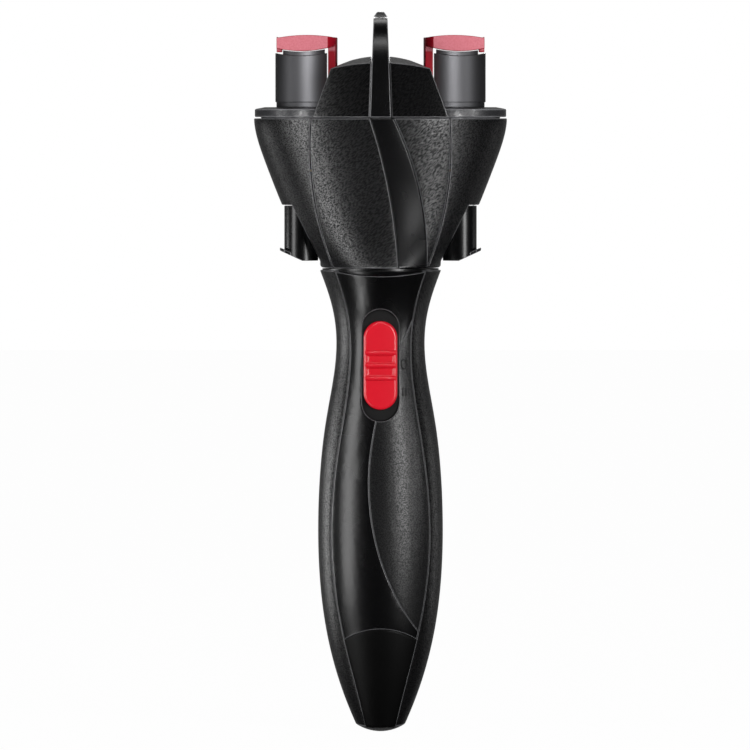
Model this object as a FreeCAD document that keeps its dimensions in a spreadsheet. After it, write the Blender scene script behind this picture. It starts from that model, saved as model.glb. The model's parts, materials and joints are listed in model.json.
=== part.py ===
import FreeCAD, Part
import math
import os
import re

import Sketcher
from FreeCAD import Placement, Rotation, Vector

# Automatic hair braider: a battery handle carries a head that turns about the Z axis. The head
# holds two spindles, each a turntable with a hair post and a clamp cap. Z points up along the
# rotor axis, the front faces -Y, and the origin is the lowest point of the handle. Millimetres.

os.makedirs("parts", exist_ok=True)
doc = FreeCAD.newDocument("HairBraider")

# ---------------------------------------------------------------------------------------------
# Driving dimensions
# ---------------------------------------------------------------------------------------------

sheet = doc.addObject("Spreadsheet::Sheet", "Sizes")

DRIVING_SIZES = [
    # walls and clearances
    ("shell_wall", "2.4"),
    ("trim_thickness", "1.2"),
    ("cup_wall", "2"),
    ("seam_gap", "0.3"),
    ("fit_gap", "0.12"),
    ("press_gap", "0.02"),
    ("running_gap", "0.05"),
    ("moving_gap", "0.3"),
    ("overcut", "1"),  # how far a cut reaches past the material
    # handle form: height, half width and how much shallower than wide, section by section
    ("end_half_width", "7.9"), ("end_flat", "0.9"),
    ("toe_height", "16"), ("toe_half_width", "14.5"), ("toe_flat", "3"),
    ("heel_height", "42"), ("heel_half_width", "21"), ("heel_flat", "4.6"),
    ("belly_height", "75"), ("belly_half_width", "23.4"), ("belly_flat", "4.9"),
    ("shoulder_height", "110"), ("shoulder_half_width", "21.4"), ("shoulder_flat", "3.6"),
    ("throat_height", "130"), ("throat_half_width", "18.1"), ("throat_flat", "1.4"),
    ("neck_height", "147"), ("neck_half_width", "16.55"), ("neck_flat", "0.5"),
    ("flare_height", "162"), ("flare_half_width", "18.85"), ("flare_flat", "0.2"),
    ("rim_height", "173.1"), ("rim_radius", "22.7"),
    ("end_ball_radius", "16.5"),
    ("parting_depth", "1.5"),
    # glossy front trim: its half width at the handle's sections
    ("trim_end", "4.6"), ("trim_toe", "8.7"), ("trim_heel", "15"), ("trim_belly", "18.4"),
    ("trim_shoulder", "15.1"), ("trim_throat", "12"), ("trim_neck", "11.3"),
    ("trim_flare", "13.5"), ("trim_rim", "16.8"),
    ("trim_top", "172.6"), ("trim_top_dip", "1.6"),
    ("tip_seam_height", "35"), ("tip_seam_rise", "3.9"), ("tip_seam_half", "13.2"),
    ("tip_floor", "6"),
    ("crease_top", "158"), ("crease_lead", "2.2"), ("crease_neck", "7.3"), ("crease_neck_height", "143.8"),
    ("crease_left", "4.3"), ("crease_height", "98"), ("crease_low", "0.3"),
    ("crease_low_height", "64"), ("crease_foot", "37"),
    # slide switch
    ("slot_width", "13.8"), ("slot_length", "42"), ("slot_drop", "1.5"),
    ("slot_margin", "1"),
    ("slider_width", "12.6"), ("slider_length", "33.2"), ("slider_face", "17.7"),
    ("slider_travel", "4"), ("ridge_pitch", "4.9"), ("ridge_width", "2.2"),
    ("ridge_rise", "0.8"), ("ridge_inset", "1.2"),
    ("plate_floor", "14.2"), ("plate_thickness", "1"), ("switch_web", "2.3"),
    ("switch_depth", "3"), ("switch_width", "8"), ("switch_length", "18"),
    ("stem_width", "3.6"), ("stem_length", "3"), ("board_post", "1.8"),
    ("board_post_place", "15.5"),
    ("board_thickness", "1.2"), ("board_width", "12.6"), ("board_length", "38"),
    # batteries and tray
    ("cell_radius", "7.1"), ("cell_length", "50.5"), ("cell_pitch", "15.2"), ("cell_foot", "43"),
    ("cell_depth", "1.6"), ("cell_nub_radius", "2.7"), ("cell_nub", "1"),
    ("tray_wall", "1.6"), ("contact_space", "4"), ("contact_thickness", "0.4"),
    ("cover_top", "101"), ("rib_half", "0.8"), ("rib_place", "10"),
    ("rib_setback", "2"),
    # housing screws
    ("screw_reach", "14"), ("boss_radius", "2.9"), ("low_screw_height", "107"), ("low_screw_place", "15.2"),
    ("high_screw_height", "152"), ("high_screw_place", "10.2"), ("screw_seat", "9.5"),
    # motor and gearbox
    ("motor_radius", "10"), ("motor_flat", "7.5"), ("motor_length", "25"), ("motor_foot", "99.4"),
    ("motor_rib", "2"), ("motor_rib_half", "6"), ("motor_rib_inset", "4"),
    ("motor_boss", "3"), ("pin_radius", "0.75"), ("drive_module", "0.4"), ("pinion_teeth", "9"),
    ("wheel_teeth", "25"), ("wheel_thickness", "1.6"), ("stage_step", "2.3"),
    ("wheel_lift", "0.2"), ("pinion_length", "2"), ("arbor_sink", "4"), ("gearbox_wall", "1.2"),
    ("shaft_radius", "2"),
    # collar between handle and head
    ("hub_radius", "9"), ("clutch_radius", "12.5"), ("clutch_length", "10.8"),
    ("collar_sink", "1"), ("clutch_cover", "1.1"),
    ("socket_wall", "1.8"), ("collar_thickness", "4"), ("ring_outer", "19.4"), ("ring_inset", "0.9"),
    ("ring_height", "2.6"), ("floor_lift", "1"), ("circlip_thickness", "1"), ("circlip_radius", "11"),
    ("groove_depth", "0.8"), ("hub_bore", "4.5"),
    # cup of the head
    ("head_gap", "0.9"), ("cup_base_radius", "21.9"),
    ("foot_rise", "2.6"), ("foot_half_width", "24.2"), ("foot_flat", "1.7"),
    ("waist_height", "197.5"), ("waist_half_width", "36.9"), ("waist_flat", "11.9"),
    ("bowl_height", "214.3"), ("bowl_half_width", "43.5"), ("bowl_flat", "16.5"),
    ("lip_height", "224"), ("lip_half_width", "46.6"), ("lip_flat", "18.6"),
    ("brim_height", "229.9"), ("brim_half_width", "47.4"), ("brim_flat", "18.9"),
    ("seam_base", "17.2"), ("seam_waist", "24.3"), ("seam_brim", "25.8"),
    ("flank_inset", "3.9"), ("flank_foot", "22.6"),
    # plates and hub inside the head
    ("floor_thickness", "3"), ("plate_foot", "207.5"), ("bearing_thickness", "2.5"),
    ("deck_foot", "224"), ("deck_thickness", "3"),
    ("column_radius", "2.6"), ("column_x", "9"), ("column_y", "12.5"),
    ("standoff_x", "12"), ("standoff_y", "17.5"),
    ("screw_radius", "1.2"), ("screw_length", "8"), ("screw_head", "2.4"),
    ("screw_head_height", "1.6"), ("pilot_room", "1"),
    # head gears
    ("gear_module", "0.9"), ("sun_teeth", "16"), ("idler_teeth", "14"), ("spindle_teeth", "22"),
    ("backlash", "0.16"), ("gear_foot", "213"), ("gear_thickness", "5"), ("idler_pin", "1.5"),
    ("seat_wall", "1.5"), ("shaft_proud", "1"), ("spigot_gap", "0.1"),
    ("pin_head", "2.4"), ("pin_head_height", "0.8"),
    # spindles: turntable, post, cap, lifter, push tab
    ("table_radius", "17.4"), ("table_lift", "0.5"), ("table_thickness", "3"),
    ("table_step", "2.4"),
    ("table_crown", "0.7"), ("drum_radius", "12.7"), ("drum_bore", "11.9"),
    ("drum_floor", "1.5"), ("drum_gap", "2.2"), ("spindle_radius", "4"), ("spindle_end", "205.6"),
    ("bush_radius", "5.5"), ("bush_flange", "6.6"), ("flange_thickness", "0.8"),
    ("rod_radius", "1.7"), ("post_radius", "9.7"), ("post_top", "254.4"), ("post_dip", "1.1"),
    ("post_base_radius", "9.3"), ("post_base", "1.9"), ("core_inset", "0.8"),
    ("clamp_gap", "0.25"),
    ("cap_gap", "1.8"), ("cap_rise", "5.1"), ("cap_front", "9.2"), ("cap_depth", "9.4"),
    ("cap_crown_radius", "60"), ("cap_crown_rise", "0.9"), ("leg_outer", "13.6"), ("leg_inner", "10.05"),
    ("leg_depth", "4.4"), ("stalk_outer", "11.6"),
    ("tooth_width", "2.1"), ("tooth_half", "4.7"), ("tooth_gap", "0.25"),
    ("yoke_thickness", "2.4"), ("arm_inset", "1"), ("lift_travel", "4.5"),
    ("tab_radius", "6.35"), ("tab_foot", "176.6"), ("lip_root", "0.4"), ("lip_reach", "8"),
    ("lip_rise", "3.8"),
    ("lip_thickness", "1.1"), ("lip_half", "5"), ("guide_wall", "1.5"), ("guide_foot", "180"),
    ("spring_wire", "0.45"), ("spring_radius", "5.2"), ("spring_turns", "4"),
    # dome and fin
    ("dome_base", "25.3"), ("dome_shoulder", "18.5"), ("dome_shoulder_height", "248.6"),
    ("dome_front_top", "250.3"), ("dome_crest", "253.2"), ("dome_lean", "2.5"),
    ("dome_wall", "3.4"), ("table_clearance", "0.7"), ("parting_gap", "0.4"),
    ("fin_base_width", "7.9"), ("fin_tip_width", "5.2"), ("fin_top", "269.8"),
    ("fin_tip_depth", "6.5"), ("fin_bevel", "1.9"), ("fin_peak_depth", "3.5"),
    ("fin_peak_width", "2.6"), ("fin_proud", "0.5"), ("groove", "0.8"),
    # sash on the cup's front
    ("sash_top_left", "-4.2"), ("sash_top_right", "4.4"), ("sash_mid_height", "203"),
    ("sash_mid_left", "3.1"), ("sash_mid_right", "14.4"), ("sash_foot_left", "6.7"),
    ("sash_foot_right", "17.2"),
    ("sash_proud", "0.35"),
]

names = set()
for row, (name, amount) in enumerate(DRIVING_SIZES, start=1):
    sheet.set("A%d" % row, name.replace("_", " "))
    sheet.set("B%d" % row, amount)
    sheet.setAlias("B%d" % row, name)
    names.add(name)
doc.recompute()


def formula(text):
    """Turn sheet names in a formula into references to the sheet."""
    def reference(match):
        word = match.group()
        return "Sizes." + word if word in names else word
    return re.sub(r"[a-z_][a-z0-9_]*", reference, text)


def value(text):
    """Work a formula out to a number."""
    return float(sheet.evalExpression(formula(text)))


def bind(thing, **formulas):
    """Bind properties to formulas; the axes of the place are given as at_x, at_y and at_z."""
    for key, text in formulas.items():
        path = "Placement.Base." + key[-1] if key.startswith("at_") else key
        thing.setExpression(path, formula(text))
    return thing


# Formulas that several pieces share.
AXIS_OFFSET = "(gear_module * (sun_teeth + 2 * idler_teeth + spindle_teeth) / 2)"
IDLER_OFFSET = "(gear_module * (sun_teeth + idler_teeth) / 2)"
COUNTER_OFFSET = "(drive_module * (pinion_teeth + wheel_teeth) / 2)"
CUP_BASE = "(rim_height + head_gap)"
TABLE_FOOT = "(brim_height + table_lift)"
TABLE_TOP = "(brim_height + table_lift + table_thickness)"
DRUM_FOOT = "(gear_foot + gear_thickness + drum_gap)"
GEARBOX_FOOT = "(motor_foot + motor_length)"
GEARBOX_TOP = "(motor_foot + motor_length + gearbox_wall + 4 * stage_step + pinion_length)"
BEARING_TOP = "(plate_foot + bearing_thickness)"
DECK_TOP = "(deck_foot + deck_thickness)"

COLLAR_TOP = "(rim_height - collar_sink)"
CLUTCH_TOP = "(rim_height - collar_sink - clutch_cover)"
CLUTCH_FOOT = "(rim_height - collar_sink - clutch_cover - clutch_length)"
SLOT_HEIGHT = "(%s - slot_drop - slot_length / 2)" % CLUTCH_FOOT

SIDES = (("left", -1), ("right", 1))
ALONG_Y = Rotation(Vector(1, 0, 0), -90)

# ---------------------------------------------------------------------------------------------
# Small helpers for primitives, booleans and sketches
# ---------------------------------------------------------------------------------------------


def rod(name, radius, low, high, x="0", y="0"):
    """A vertical cylinder between two heights."""
    thing = doc.addObject("Part::Cylinder", name)
    return bind(thing, Radius=radius, Height="(%s) - (%s)" % (high, low), at_x=x, at_y=y, at_z=low)


def cross_rod(name, radius, front, back, x, z):
    """A cylinder that runs from front to back."""
    thing = doc.addObject("Part::Cylinder", name)
    thing.Placement = Placement(Vector(), ALONG_Y)
    return bind(thing, Radius=radius, Height="(%s) - (%s)" % (back, front),
                at_x=x, at_y=front, at_z=z)


def block(name, xs, ys, zs):
    """A box between pairs of coordinates."""
    thing = doc.addObject("Part::Box", name)
    spans = ["(%s) - (%s)" % (pair[1], pair[0]) for pair in (xs, ys, zs)]
    return bind(thing, Length=spans[0], Width=spans[1], Height=spans[2],
                at_x=xs[0], at_y=ys[0], at_z=zs[0])


def cut(name, base, *tools):
    """Base without its tools."""
    for count, tool in enumerate(tools, start=1):
        label = name if count == len(tools) else "%s_step_%d" % (name, count)
        thing = doc.addObject("Part::Cut", label)
        thing.Base = base
        thing.Tool = tool
        base = thing
    return base


def fuse(name, *shapes):
    thing = doc.addObject("Part::MultiFuse", name)
    thing.Shapes = list(shapes)
    return thing


def common(name, *shapes):
    thing = doc.addObject("Part::MultiCommon", name)
    thing.Shapes = list(shapes)
    return thing


def mirror(name, source):
    """The piece's twin on the other side of the YZ plane."""
    thing = doc.addObject("Part::Mirroring", name)
    thing.Source = source
    thing.Base = Vector(0, 0, 0)
    thing.Normal = Vector(1, 0, 0)
    return thing


def group(name, *shapes):
    """Separate solids of one kind kept in one node."""
    thing = doc.addObject("Part::Compound", name)
    thing.Links = list(shapes)
    return thing


def fixed(name, shape):
    """A piece whose form is worked out here from the sheet."""
    thing = doc.addObject("Part::Feature", name)
    thing.Shape = shape
    return thing


def draw(body, name, plane, corners):
    """A closed sketch on an origin plane: corners are (x, y) or (x, y, radius of arc to next)."""
    sketch = body.newObject("Sketcher::SketchObject", name)
    support = [item for item in body.Origin.OriginFeatures if item.Role == plane][0]
    sketch.AttachmentSupport = [(support, "")]
    sketch.MapMode = "FlatFace"
    points = [Vector(value(corner[0]), value(corner[1]), 0) for corner in corners]
    count = len(corners)
    ends = []
    for index, corner in enumerate(corners):
        start, end = points[index], points[(index + 1) % count]
        if len(corner) < 3:
            sketch.addGeometry(Part.LineSegment(start, end), False)
            ends.append((1, 2))
            continue
        # A positive radius bulges to the right of the way from start to end.
        radius = value(corner[2])
        chord = end - start
        right = Vector(chord.y, -chord.x, 0).normalize()
        rise = math.sqrt(max(radius ** 2 - (chord.Length / 2) ** 2, 0))
        side = 1 if radius > 0 else -1
        centre = (start + end) * 0.5 - right * rise * side
        top = centre + right * abs(radius) * side
        sketch.addGeometry(Part.Arc(start, top, end), False)
        first = sketch.getPoint(index, 1)
        ends.append((1, 2) if first.distanceToPoint(start) < 1e-6 else (2, 1))
    for index in range(count):
        other = (index + 1) % count
        sketch.addConstraint(Sketcher.Constraint(
            "Coincident", index, ends[index][1], other, ends[other][0]))
    for index, corner in enumerate(corners):
        point = ends[index][0]
        for kind, text, axis in (("DistanceX", corner[0], -2), ("DistanceY", corner[1], -1)):
            if text == "0":
                sketch.addConstraint(Sketcher.Constraint("PointOnObject", index, point, axis))
                continue
            number = sketch.addConstraint(
                Sketcher.Constraint(kind, -1, 1, index, point, value(text)))
            sketch.setExpression("Constraints[%d]" % number, formula(text))
        if len(corner) == 3:
            number = sketch.addConstraint(
                Sketcher.Constraint("Radius", index, abs(value(corner[2]))))
            sketch.setExpression("Constraints[%d]" % number, formula("abs(%s)" % corner[2]))
    return sketch


def turned(name, corners):
    """A body turned about Z from a half profile of (radius, height) corners."""
    body = doc.addObject("PartDesign::Body", name)
    sketch = draw(body, name + "_profile", "XZ_Plane", corners)
    feature = body.newObject("PartDesign::Revolution", name + "_turn")
    feature.Profile = sketch
    feature.ReferenceAxis = (sketch, ["V_Axis"])
    feature.Angle = 360
    return body


def extruded(name, corners, back, front="0"):
    """A body cut from a front view of (x, z) corners, reaching from y = back to y = -front."""
    body = doc.addObject("PartDesign::Body", name)
    sketch = draw(body, name + "_profile", "XZ_Plane", corners)
    feature = body.newObject("PartDesign::Pad", name + "_pad")
    feature.Profile = sketch
    feature.SideType = "Two sides"
    bind(feature, Length=front, Length2=back)
    return body


doc.recompute()

# ---------------------------------------------------------------------------------------------
# Handle form: ovals lofted from the tip to the rim
# ---------------------------------------------------------------------------------------------

HANDLE_STATIONS = ("toe", "heel", "belly", "shoulder", "throat", "neck", "flare")
REACH = 100  # further out than any piece


def oval(name, half_width, half_depth, height):
    ring = doc.addObject("Part::Ellipse", name)
    return bind(ring, MajorRadius=half_width, MinorRadius=half_depth, at_z=height)


def loft(name, rings):
    thing = doc.addObject("Part::Loft", name)
    thing.Sections = rings
    thing.Solid = True
    return thing


def handle_form(name, inset):
    """The handle's outer form moved inwards by an inset, from the end to the rim."""
    rings = [oval(name + "_end", "end_half_width - " + inset,
                  "end_half_width - end_flat - " + inset, "0")]
    for station in HANDLE_STATIONS:
        wide = "%s_half_width - %s" % (station, inset)
        rings.append(oval("%s_%s" % (name, station), wide, "%s - %s_flat" % (wide, station),
                          station + "_height"))
    rings.append(oval(name + "_rim", "rim_radius - " + inset, "rim_radius - " + inset,
                      "rim_height"))
    return loft(name, rings)


def spline(points):
    curve = Part.BSplineCurve()
    curve.interpolate([Vector(*point) for point in points])
    return curve.toShape()


def front_prism(name, edges, start="0"):
    """A prism towards the front, from y = start, over closed edges in the XZ plane."""
    face = Part.Face(Part.Wire(edges))
    face.translate(Vector(0, value(start), 0))
    return fixed(name, face.extrude(Vector(0, -REACH, 0)))


def side_points(sign, grow):
    """Half widths of the front trim up the handle, on one side."""
    points = [(value("trim_end") + grow, 0, -2)]
    for station in HANDLE_STATIONS:
        points.append((value("trim_" + station) + grow, 0, value(station + "_height")))
    points.append((value("trim_rim") + grow, 0, value("trim_top") + grow))
    return [(sign * across, deep, high) for across, deep, high in points]


def trim_prism(name, grow=0.0):
    left, right = side_points(-1, grow), side_points(1, grow)
    dip = (0, 0, value("trim_top - trim_top_dip") + grow)
    top = Part.Arc(Vector(*left[-1]), Vector(*dip), Vector(*right[-1])).toShape()
    foot = Part.LineSegment(Vector(*right[0]), Vector(*left[0])).toShape()
    return front_prism(name, [spline(left), top, spline(right[::-1]), foot])


def lens_prism(name, grow=0.0):
    """The region of the front trim to the right of the crease."""
    crease = [
        (value("trim_neck + crease_lead"), 0, value("crease_top")),
        (value("crease_neck") - grow, 0, value("crease_neck_height")),
        (-value("crease_left") - grow, 0, value("crease_height")),
        (value("crease_low") - grow, 0, value("crease_low_height")),
        (value("trim_heel"), 0, value("crease_foot") - grow),
    ]
    far = value("belly_half_width")
    corners = [crease[-1], (far, 0, crease[-1][2]), (far, 0, crease[0][2]), crease[0]]
    lines = [Part.LineSegment(Vector(*a), Vector(*b)).toShape()
             for a, b in zip(corners, corners[1:])]
    return front_prism(name, [spline(crease)] + lines)


def stadium(name, width, length, height, front, back):
    """An upright slot shape seen from the front, between two depths."""
    straight = "(%s - %s) / 2" % (length, width)
    pieces = [
        block(name + "_middle", ("-(%s) / 2" % width, "(%s) / 2" % width), (front, back),
              ("%s - %s" % (height, straight), "%s + %s" % (height, straight)))]
    for label, sign in (("low", "-"), ("high", "+")):
        pieces.append(cross_rod("%s_%s" % (name, label), "(%s) / 2" % width, front, back, "0",
                                "%s %s %s" % (height, sign, straight)))
    return fuse(name, *pieces)


end_ball = bind(doc.addObject("Part::Sphere", "end_ball"), Radius="end_ball_radius",
                at_z="end_ball_radius")
above_end = rod("above_end", "belly_half_width + rim_radius", "0.75 * end_ball_radius",
                "rim_height")
rounded_end = fuse("rounded_end", end_ball, above_end)
handle_outer = common("handle_outer", handle_form("handle_loft", "0"), rounded_end)
trim_back = handle_form("trim_back", "trim_thickness")
handle_room = handle_form("handle_room", "shell_wall")
room_span = rod("room_span", "belly_half_width + rim_radius", "tip_floor", "rim_height")
handle_skin = cut("handle_skin", handle_outer, common("handle_cavity", handle_room, room_span))
fitted_room = handle_form("fitted_room", "(shell_wall + fit_gap)")

# ---------------------------------------------------------------------------------------------
# Handle housings
# ---------------------------------------------------------------------------------------------

SLOT_LOW = SLOT_HEIGHT + " - slot_length / 2"
SLOT_HIGH = SLOT_HEIGHT + " + slot_length / 2"
SWITCH_FACE = "-(plate_floor - switch_web)"
BOARD_FACE = "-(plate_floor - switch_web - switch_depth)"
TRAY_FRONT = "(cell_depth - cell_radius - tray_wall)"
TRAY_FOOT = "(cell_foot - contact_space - tray_wall)"
TRAY_TOP = "(cell_foot + cell_length + contact_space + tray_wall)"

slot = stadium("slot", "slot_width", "slot_length", SLOT_HEIGHT, "-belly_half_width",
               "-plate_floor")
stem_window = block("stem_window", ("-stem_width / 2 - moving_gap", "stem_width / 2 + moving_gap"),
                    ("-belly_half_width", "0"),
                    (SLOT_HEIGHT + " - stem_length / 2 - slider_travel - moving_gap",
                     SLOT_HEIGHT + " + stem_length / 2 + slider_travel + moving_gap"))

SCREW_PLACES = [(sign, station) for station in ("low", "high") for sign in ("-", "")]


def screw_place(sign, station):
    return "%s%s_screw_place" % (sign, station), "%s_screw_height" % station


def housing_bosses(name, front, back):
    return [cross_rod("%s_%d" % (name, number), "boss_radius", front, back,
                      *screw_place(*place)) for number, place in enumerate(SCREW_PLACES)]


def housing_holes(name, radius, front, back):
    return fuse(name, *[cross_rod("%s_%d" % (name, number), radius, front, back,
                                  *screw_place(*place))
                        for number, place in enumerate(SCREW_PLACES)])


def inner_block(name, xs, back, zs):
    """A block inside the front wall, from the wall back to a depth."""
    return block(name, xs, ("-belly_half_width", back), zs)


switch_block = inner_block("switch_block", ("-slot_width / 2 - slot_margin",
                                            "slot_width / 2 + slot_margin"),
                           SWITCH_FACE, (SLOT_LOW + " - slot_margin", SLOT_HIGH + " + slot_margin"))
board_posts = [cross_rod("board_post_%d" % number, "board_post", "-plate_floor", BOARD_FACE, "0",
                         "%s %s board_post_place" % (SLOT_HEIGHT, sign))
               for number, sign in enumerate("-+")]
tray_ribs = [inner_block("tray_rib_%d" % number, (place + " - rib_half", place + " + rib_half"),
                         TRAY_FRONT, (TRAY_FOOT + " + rib_setback", TRAY_TOP + " - rib_setback"))
             for number, place in enumerate(("-rib_place", "0", "rib_place"))]
motor_ribs = [inner_block("motor_rib_%d" % number, ("-motor_rib_half", "motor_rib_half"),
                          "-motor_flat", (low, low + " + motor_rib"))
              for number, low in enumerate((
                  "motor_foot + motor_rib_inset",
                  "motor_foot + motor_length - motor_rib_inset - 2 * motor_rib"))]
front_bosses = housing_bosses("front_boss", "-belly_half_width", "parting_depth")
front_inner = common("front_inner", trim_back,
                     fuse("front_inner_parts", switch_block, *board_posts, *tray_ribs,
                          *motor_ribs, *front_bosses))

ALL_WIDE = ("-brim_half_width * 2", "brim_half_width * 2")
FRONT_SIDE = ("-brim_half_width * 2", "parting_depth")
ALL_HIGH = ("-shell_wall", "rim_height + shell_wall")

front_side = block("front_side", ALL_WIDE, FRONT_SIDE, ALL_HIGH)
trim_pocket = cut("trim_pocket", trim_prism("pocket_prism", value("fit_gap")), trim_back)
front_screws = housing_holes("front_screw_hole", "screw_radius + press_gap",
                             "parting_depth - screw_length", "belly_half_width")
handle_front_shell = cut("handle_front_shell",
                         common("front_shell_blank",
                                fuse("front_shell_body", handle_skin, front_inner), front_side),
                         trim_pocket, slot, stem_window, front_screws)

trim_skin = cut("trim_skin", handle_outer, trim_back)
trim_plate = common("trim_plate", trim_skin, trim_prism("trim_outline"))
TIP_SEAM_RADIUS = "((tip_seam_half * tip_seam_half + tip_seam_rise * tip_seam_rise)" \
                  " / (2 * tip_seam_rise))"
TIP_SEAM_CENTRE = "tip_seam_height + tip_seam_rise - " + TIP_SEAM_RADIUS


def tip_disc(name, grow):
    return cross_rod(name, "%s + %s" % (TIP_SEAM_RADIUS, grow), "-belly_half_width", "0", "0",
                     TIP_SEAM_CENTRE)


tip_cover = common("tip_cover", trim_plate, tip_disc("tip_disc", "0"))
upper_trim = cut("upper_trim", trim_plate, tip_disc("tip_seam_disc", "seam_gap / 2"), slot)
front_trim = cut("front_trim", upper_trim, lens_prism("lens_seam", value("fit_gap / 2")))
lens_inlay = common("lens_inlay", upper_trim, lens_prism("lens_outline", -value("fit_gap / 2")))

# Behind the parting plane: a fixed rear housing above, the battery cover below.
rear_bosses = common("rear_bosses", trim_back,
                     *[fuse("rear_boss_parts", *housing_bosses("rear_boss", "parting_depth",
                                                               "belly_half_width"))])
rear_side = block("rear_side", ALL_WIDE, ("parting_depth", "brim_half_width * 2"),
                  ("cover_top + seam_gap", "rim_height + shell_wall"))
screw_ways = housing_holes("screw_way", "screw_radius + fit_gap", "-belly_half_width",
                           "belly_half_width")
screw_sinks = housing_holes("screw_sink", "screw_head + fit_gap", "screw_seat",
                            "belly_half_width * 2")
handle_rear_shell = cut("handle_rear_shell",
                        common("rear_shell_blank",
                               fuse("rear_shell_body", handle_skin, rear_bosses), rear_side),
                        screw_ways, screw_sinks)
cover_side = block("cover_side", ALL_WIDE, ("parting_depth + fit_gap", "brim_half_width * 2"),
                   ("-shell_wall", "cover_top"))
battery_cover = common("battery_cover", handle_skin, cover_side)


def screw(name, head_seat, x, y=None, z=None):
    """A pan head screw: along Y into the housings, or down from a seat when y is given."""
    if y is None:
        shank = cross_rod(name + "_shank", "screw_radius", head_seat + " - screw_reach",
                          head_seat, x, z)
        head = cross_rod(name + "_head", "screw_head", head_seat,
                         head_seat + " + screw_head_height", x, z)
    else:
        shank = rod(name + "_shank", "screw_radius", head_seat + " - screw_length", head_seat,
                    x, y)
        head = rod(name + "_head", "screw_head", head_seat, head_seat + " + screw_head_height",
                   x, y)
    return fuse(name, shank, head)


handle_screws = group("handle_screws",
                      *[screw("handle_screw_%d" % number, "screw_seat", screw_place(*place)[0],
                              z=screw_place(*place)[1])
                        for number, place in enumerate(SCREW_PLACES)])

# ---------------------------------------------------------------------------------------------
# Slide switch
# ---------------------------------------------------------------------------------------------

SLIDER_BACK = "-(plate_floor + plate_thickness + moving_gap)"
PLATE_FRONT = "-(plate_floor + plate_thickness)"

switch_plate = cut("switch_plate",
                   stadium("plate_blank", "(slot_width - 2 * fit_gap)",
                           "(slot_length - 2 * fit_gap)", SLOT_HEIGHT, PLATE_FRONT,
                           "-plate_floor"), stem_window)
slider_plan = stadium("slider_plan", "slider_width", "slider_length", SLOT_HEIGHT,
                      "-slider_face", SLIDER_BACK)
ridges = [stadium("ridge_%d" % (step + 2), "ridge_width", "(slider_width - 2 * ridge_inset)", "0",
                  "-slider_face - ridge_rise", "-slider_face") for step in (-1, 0, 1)]
for step, ridge in zip((-1, 0, 1), ridges):
    ridge.Placement = Placement(Vector(), Rotation(Vector(0, 1, 0), 90))
    bind(ridge, at_z="%s + (%d) * ridge_pitch" % (SLOT_HEIGHT, step))
stem = block("stem", ("-stem_width / 2", "stem_width / 2"),
             (SLIDER_BACK, SWITCH_FACE + " - moving_gap"),
             (SLOT_HEIGHT + " - stem_length / 2", SLOT_HEIGHT + " + stem_length / 2"))
switch_slider = fuse("switch_slider", slider_plan, stem, *ridges)
slide_switch = block("slide_switch", ("-switch_width / 2", "switch_width / 2"),
                     (SWITCH_FACE, BOARD_FACE),
                     (SLOT_HEIGHT + " - switch_length / 2",
                      SLOT_HEIGHT + " + switch_length / 2"))
circuit_board = block("circuit_board", ("-board_width / 2", "board_width / 2"),
                      (BOARD_FACE, BOARD_FACE + " + board_thickness"),
                      (SLOT_HEIGHT + " - board_length / 2",
                       SLOT_HEIGHT + " + board_length / 2"))

# ---------------------------------------------------------------------------------------------
# Batteries, tray and contacts
# ---------------------------------------------------------------------------------------------


COIL_STEPS = 12  # straight lengths in one turn of a spring
COIL_FACES = 6  # flats around a spring's wire


def coil(name, radius, wire, turns, low, high, x="0", y="0"):
    """A compression spring between two heights, wound from short straight lengths of wire."""
    reach, thick, rounds = value(radius), value(wire), value(turns)
    climb = value(high) - value(low) - 2 * thick
    steps = round(rounds * COIL_STEPS)
    rings = []
    for step in range(steps + 1):
        turn = Rotation(Vector(0, 0, 1), 360 * rounds * step / steps)
        lift = Vector(0, 0, climb * step / steps)
        ring = []
        for corner in range(COIL_FACES):
            angle = 2 * math.pi * (corner + 0.5) / COIL_FACES
            ring.append(turn.multVec(Vector(reach + thick * math.sin(angle), 0,
                                            thick * math.cos(angle))) + lift)
        rings.append(ring)
    faces = [Part.Face(Part.makePolygon(ring + ring[:1])) for ring in (rings[0], rings[-1])]
    for ring, following in zip(rings, rings[1:]):
        for corner in range(COIL_FACES):
            other = (corner + 1) % COIL_FACES
            first, second = ring[corner], ring[other]
            third, fourth = following[other], following[corner]
            faces.append(Part.Face(Part.makePolygon([first, second, third, first])))
            faces.append(Part.Face(Part.makePolygon([first, third, fourth, first])))
    spring = Part.Solid(Part.Shell(faces))
    if spring.Volume < 0:
        spring.reverse()
    thing = fixed(name, spring)
    thing.Placement = Placement(Vector(value(x), value(y), value(low) + thick), Rotation())
    return thing


CELL_TOP = "(cell_foot + cell_length)"
CELL_X = (("left", "-cell_pitch / 2"), ("right", "cell_pitch / 2"))
tray_blank = common("tray_blank", fitted_room,
                    block("tray_box", ("-(cell_pitch / 2 + cell_radius + tray_wall)",
                                       "cell_pitch / 2 + cell_radius + tray_wall"),
                          (TRAY_FRONT, "parting_depth - moving_gap"), (TRAY_FOOT, TRAY_TOP)))
cell_bores = [rod("cell_bore_" + side, "cell_radius + fit_gap", "cell_foot", CELL_TOP, x,
                  "cell_depth") for side, x in CELL_X]
end_bay = block("end_bay", ("-(cell_pitch / 2 + cell_radius - tray_wall)",
                            "cell_pitch / 2 + cell_radius - tray_wall"),
                (TRAY_FRONT + " + tray_wall", "belly_half_width"),
                (TRAY_FOOT + " + tray_wall", TRAY_TOP + " - tray_wall"))
battery_tray = cut("battery_tray", tray_blank, *cell_bores, end_bay)


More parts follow.
